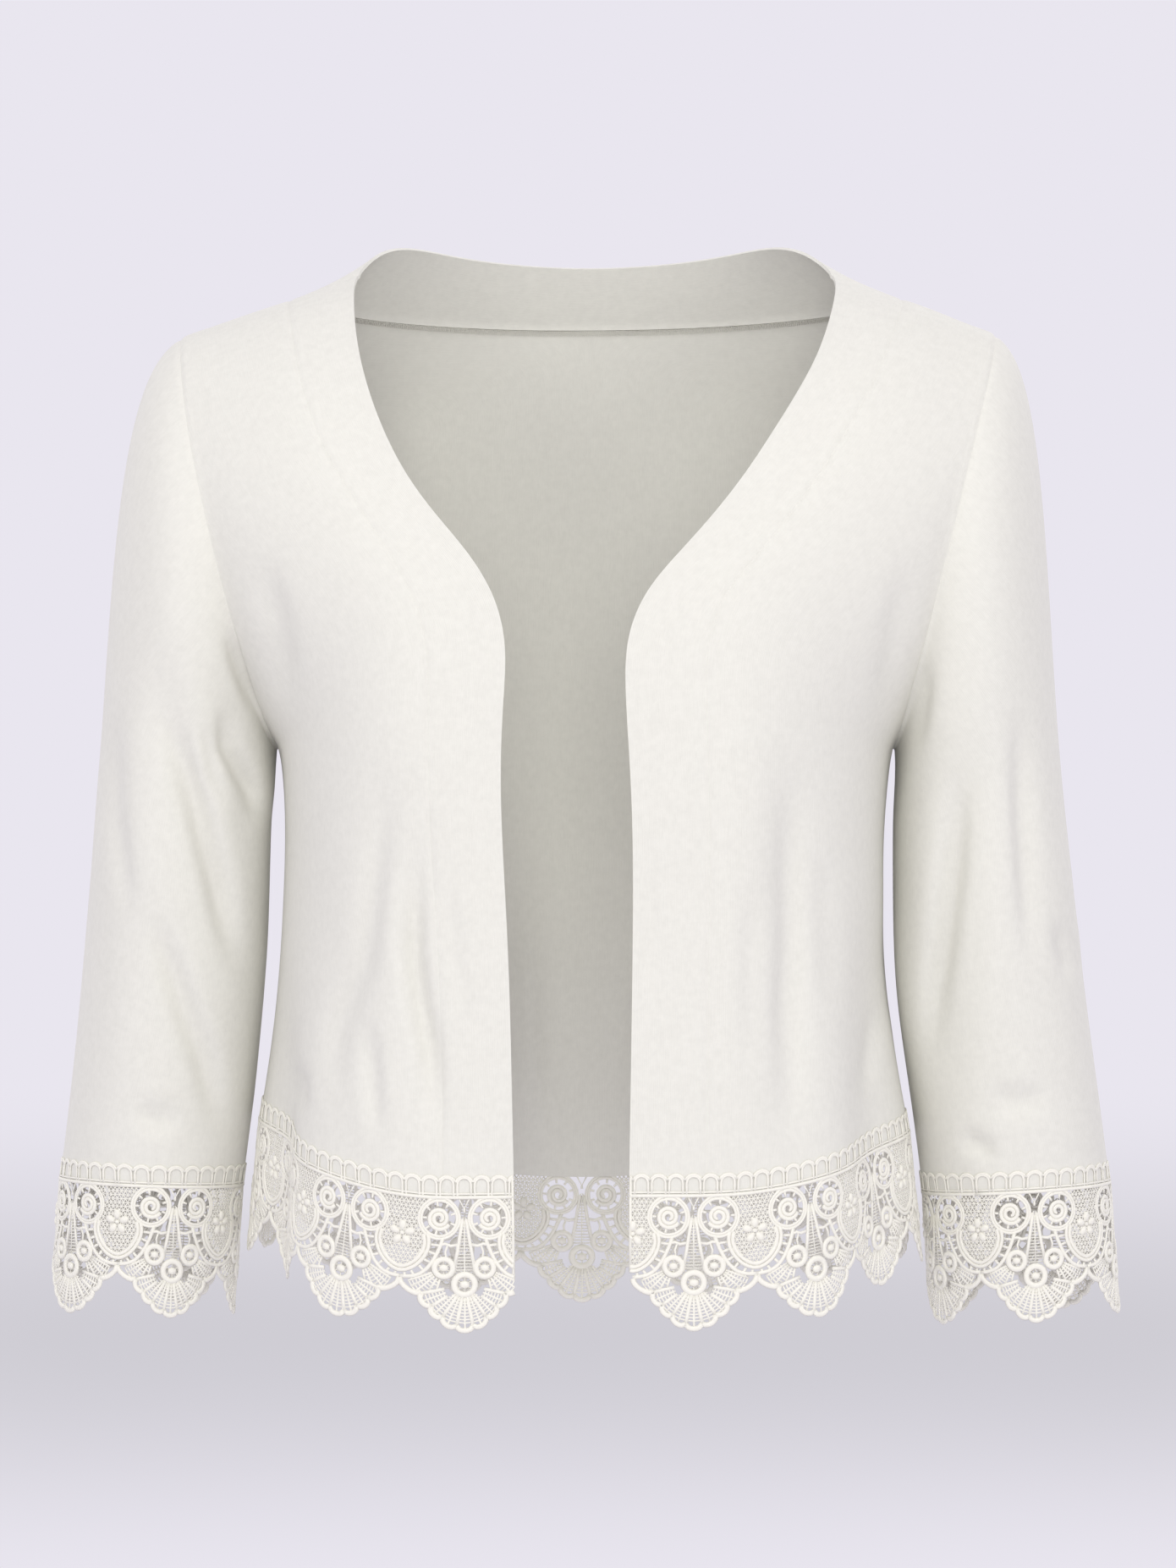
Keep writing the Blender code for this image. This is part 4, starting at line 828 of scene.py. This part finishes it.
def guide(names, start_angle, ring):
    """The line a strip is sewn along: its run, whole length and places, and the ways out, up and down."""
    line = lower_edge(names)
    middle = line[:, :2].mean(0) if ring else np.array([CENTRE_BACK, 0.0])
    angles = np.degrees(np.arctan2(line[:, 1] - middle[1], line[:, 0] - middle[0]))
    line = line[np.argsort((angles - start_angle) % 360)]
    if ring:
        line = np.vstack([line, line[:1]])
    reach = np.concatenate([[0], np.cumsum(np.linalg.norm(np.diff(line, axis=0), axis=1))])
    count = round(reach[-1] / GUIDE_STEP)
    at = np.linspace(0, reach[-1], count + (not ring), endpoint=not ring)
    line = smoothed(np.stack([np.interp(at, reach, line[:, i]) for i in range(3)], 1), 3, ring)
    rise = np.zeros_like(line)
    for i, spot in enumerate(line):
        above = surface.find_nearest(Vector(spot) + Vector((0, 0, HEADER)))[0]
        rise[i] = above - Vector(spot)
    ahead = np.roll(line, -1, 0) - np.roll(line, 1, 0) if ring else np.gradient(line, axis=0)
    ahead = smoothed(unit(ahead), 6, ring)
    rise = unit(smoothed(unit(rise), 10, ring))
    fall = unit(-rise + np.array([0, 0, -PLUMB]))
    fall = unit(fall - ahead * (fall * ahead).sum(1)[:, None] * SQUARED)
    out_up = unit(np.cross(ahead, rise))
    out_down = unit(np.cross(ahead, -fall))
    return at, reach[-1], line, out_up, out_down, rise, fall


def lay_along(mesh, track, ring):
    """Moves a flat strip's points, in millimetres, to where they lie on the cloth and hang below it."""
    at, length, line, out_up, out_down, rise, fall = track
    flat_points = np.zeros(len(mesh.vertices) * 3)
    mesh.vertices.foreach_get("co", flat_points)
    flat_points = flat_points.reshape(-1, 3) * MILLIMETRE
    along = flat_points[:, 0] % length if ring else flat_points[:, 0]
    period = length if ring else None

    def here(values):
        return np.stack([np.interp(along, at, values[:, i], period=period) for i in range(3)], 1)

    height = flat_points[:, 1:2]
    proud = flat_points[:, 2:3] * FLATTENED + PROUD
    share = np.clip(-height / TURN_OVER, 0, 1)
    out = unit(here(out_up) * (1 - share) + here(out_down) * share)
    places = here(line) + np.where(height > 0, here(rise), -here(fall)) * height + out * proud
    for i in np.flatnonzero(height[:, 0] > SEWN_ABOVE):
        spot, way, _, _ = surface.find_nearest(Vector(places[i]))
        if (Vector(places[i]) - spot).length < SEWN_REACH:
            places[i] = spot + way * proud[i, 0]
    mesh.vertices.foreach_set("co", places.ravel())
    mesh.update()


def thickest(cord):
    """A cord's radius, or the largest of them."""
    return max(np.atleast_1d(cord[1]))


def moved(cords, by, stretch=1):
    """Cords stretched along the strip and moved along it."""
    return [([(x * stretch + by, y) for x, y in line], radius, closed) for line, radius, closed in cords]


# Cords of this radius and more, in millimetres, stand out from the ground as the raised ones.
RAISED = 0.9

# An open strip is cut this far in from its ends, which a cord of this radius closes from the header's top down.
END_CUT = 0.4
END_CORD = 0.7
HEADER_TOP = 10.6


def lace_strip(name, names, start_angle, ring, repeats, first, last=None):
    """One edging, drawn flat and laid round its edge. First and last say how far in its end fans stand."""
    track = guide(names, start_angle, ring)
    length = track[1] / MILLIMETRE
    width = length / repeats if ring else (length - first - last) / (repeats - 1)
    start = first + width / 2 if ring else first
    fans = moved(fan(), 0, width / REPEAT) + header(width)
    medallions = moved(medallion(), width / 2, width / REPEAT)
    cords = []
    for k in range(repeats):
        cords += moved(fans + medallions, start + k * width)
    if not ring:
        cords += moved(medallions + header(width), start - width)
        cords += moved(header(width), start + repeats * width)
        cords = cut_to(cords, END_CUT, length - END_CUT)
        for x, foot in ((END_CORD, -35.8), (length - END_CORD, -38.8)):
            cords.append(([(x, HEADER_TOP), (x, -12), (x, foot)], END_CORD, False))
    raised = [cord for cord in cords if thickest(cord) >= RAISED]
    ground = [cord for cord in cords if THREAD < thickest(cord) < RAISED]
    threads = [cord for cord in cords if thickest(cord) <= THREAD]
    parts = {"ground": [(ground, CORD_SIDES), (threads, THREAD_SIDES)], "cords": [(raised, CORD_SIDES)]}
    pieces = []
    for part, groups in parts.items():
        made = [tubes(group, sides) for group, sides in groups]
        for piece in made:
            piece.select_set(True)
        bpy.ops.object.join()
        piece = bpy.context.object
        piece.name = f"{name}_{part}"
        piece.data.name = piece.name
        bpy.ops.object.mode_set(mode="EDIT")
        bpy.ops.mesh.select_all(action="SELECT")
        bpy.ops.mesh.remove_doubles(threshold=SAME_POINT)
        bpy.ops.object.mode_set(mode="OBJECT")
        lay_along(piece.data, track, ring)
        piece.data.shade_smooth()
        piece.data.materials.append(guipure)
        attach(piece, "root")
        pieces.append(piece)
    return pieces


# Guipure thread is a bright cotton, whiter and a little glossier than the jersey. Its threads lie side by
# side, which breaks up its highlights. They are drawn 0.55 mm apart, coarser than real ones, so as to show.
LACE_WHITE = "#ECEAE0"
THREADS_PER_METRE = 1800
THREAD_RELIEF = 0.00015
guipure, satin, shader = new_material("guipure_satin_thread_ivory", 0.62, 0.08)
shader.inputs["Base Color"].default_value = linear(LACE_WHITE)
place = add_node(satin, "ShaderNodeTexCoord").outputs["Object"]
settings = {"Scale": THREADS_PER_METRE, "Detail": 2.0}
threads = add_node(satin, "ShaderNodeTexNoise", settings, {"Vector": place})
settings = {"Strength": 0.35, "Distance": THREAD_RELIEF}
bump = add_node(satin, "ShaderNodeBump", settings, {"Height": threads.outputs["Fac"]})
satin.links.new(bump.outputs["Normal"], shader.inputs["Normal"])

# Fifteen repeats go round the hem, from the right front edge to the left one, and five round each cuff.
hem_panels = ["front_left", "front_right", "band_left", "band_right", "back"]
ground, raised = lace_strip("hem_lace", hem_panels, -85, False, 15, first=31.0, last=24.0)
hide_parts("hem_lace_right", "hem_lace_back", "hem_lace_left")
for side, start_angle, first in (("left", 0, 0.500), ("right", 180, 0.825)):
    ground, raised = lace_strip("cuff_lace_" + side, ["sleeve_" + side], start_angle, True, 5, first * REPEAT)
    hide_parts(f"cuff_lace_{side}_a", f"cuff_lace_{side}_b")


# Overlocked back-neck seam
# The only seam whose inside shows in the photograph. Its edges are bound together by a looping thread, which
# lies as a fine zigzag on the back below the neck band.
STITCH = 0.0011
LOOP = 0.0028
SEWING_THREAD = 0.00022
SEAM_END = 0.004
ABOVE_CLOTH = 0.0002
seam = np.flatnonzero((reaches["back"] > 0) & (reaches["neck_band"] > 0))
seam = seam[np.argsort(points[seam][:, 0])]
run = np.concatenate([[0], np.cumsum(np.linalg.norm(np.diff(points[seam], axis=0), axis=1))])
at = np.arange(SEAM_END, run[-1] - SEAM_END, STITCH / 2)
line = np.stack([np.interp(at, run, points[seam][:, i]) for i in range(3)], 1)
out = unit(np.stack([np.interp(at, run, normals[seam][:, i]) for i in range(3)], 1))
down = unit(np.cross(out, unit(np.gradient(line, axis=0))))
down *= -np.sign(down[:, 2:3])
loops = line + down * (LOOP * (np.arange(len(at)) % 2))[:, None]
loops -= out * (LAYER + SEWING_THREAD + ABOVE_CLOTH)
overlock = tubes([([tuple(p) for p in loops], SEWING_THREAD, False)], THREAD_SIDES)
overlock.name = "neck_seam_overlock"
overlock.data.name = overlock.name
overlock.data.materials.append(guipure)
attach(overlock, "root")


# Floor and light
# A plain pale studio: a floor well below in matt paint, which gives no highlight, even light from all round,
# large soft lamps in front and behind, and a gentle shade low down behind the lace, as in the photograph.
PALE = "#E9E6EF"
SHADE = "#CFCDD4"
FLOOR_GREY = "#D3D1D9"
FLOOR_RADIUS = 5.5
FLOOR_HEIGHT = -1.36
bpy.ops.object.select_all(action="DESELECT")
bpy.ops.mesh.primitive_circle_add(
    vertices=96, radius=FLOOR_RADIUS, fill_type="NGON", location=(0, 0, FLOOR_HEIGHT)
)
floor = bpy.context.object
floor.name = "floor"
paint, _, shader = new_material("matt_floor_paint", 0.9, 0.0)
shader.inputs["Base Color"].default_value = linear(FLOOR_GREY)
floor.data.materials.append(paint)

world = bpy.data.worlds.new("studio")
world.use_nodes = True
sky = world.node_tree
heading = add_node(sky, "ShaderNodeTexCoord").outputs["Generated"]
ways = add_node(sky, "ShaderNodeSeparateXYZ", {}, {"Vector": heading})
aside = add_node(sky, "ShaderNodeMath", {"operation": "ABSOLUTE"}, {"Value": ways.outputs["X"]})

# The shade is whole where four shares are whole: above its foot, below its top, near the middle and behind.
shares = []
for none_at, whole_at, source in (
    (-0.115, -0.078, ways.outputs["Z"]),
    (-0.042, -0.078, ways.outputs["Z"]),
    (0.20, 0.07, aside.outputs["Value"]),
    (0.0, 0.5, ways.outputs["Y"]),
):
    settings = {"interpolation_type": "SMOOTHSTEP", "From Min": none_at, "From Max": whole_at}
    shares.append(add_node(sky, "ShaderNodeMapRange", settings, {"Value": source}).outputs["Result"])
shade = shares[0]
for share in shares[1:]:
    product = add_node(sky, "ShaderNodeMath", {"operation": "MULTIPLY"})
    sky.links.new(shade, product.inputs[0])
    sky.links.new(share, product.inputs[1])
    shade = product.outputs["Value"]

# In a colour mix, inputs 6 and 7 are its two colours and output 2 is the mixed one.
blend = add_node(sky, "ShaderNodeMix", {"data_type": "RGBA"}, {"Factor": shade})
blend.inputs[6].default_value = linear(PALE)
blend.inputs[7].default_value = linear(SHADE)
sky.links.new(blend.outputs[2], sky.nodes["Background"].inputs["Color"])
bpy.context.scene.world = world

# Each lamp's place and size in metres, and its power in watts. All face the jacket's middle.
LAMP_WHITE = "#FBFCF2"
LAMPS = [
    ((-2.5, -2.4, 1.2), 0.8, 8),
    ((-0.5, -2.6, 2.1), 0.8, 18),
    ((0.1, -4.2, 0.15), 1.3, 38),
    ((2.3, -2.5, 0.3), 1.2, 11),
    ((1.8, 3.0, 1.6), 1.2, 30),
    ((-2.4, 2.6, 0.6), 1.6, 16),
]
JACKET_MIDDLE = Vector((0, 0, -0.25))
for stand, size, power in LAMPS:
    bpy.ops.object.light_add(type="AREA", location=stand)
    lamp = bpy.context.object
    lamp.data.size = size
    lamp.data.energy = power
    lamp.data.color = linear(LAMP_WHITE)[:3]
    lamp.visible_camera = False
    lamp.rotation_euler = (JACKET_MIDDLE - lamp.location).to_track_quat("-Z", "Y").to_euler()
bpy.context.scene.view_settings.view_transform = "Standard"


# Last, the whole sewn sheet is taken away, since each panel has its own copy
bpy.context.view_layer.update()
bpy.data.objects.remove(cloth)
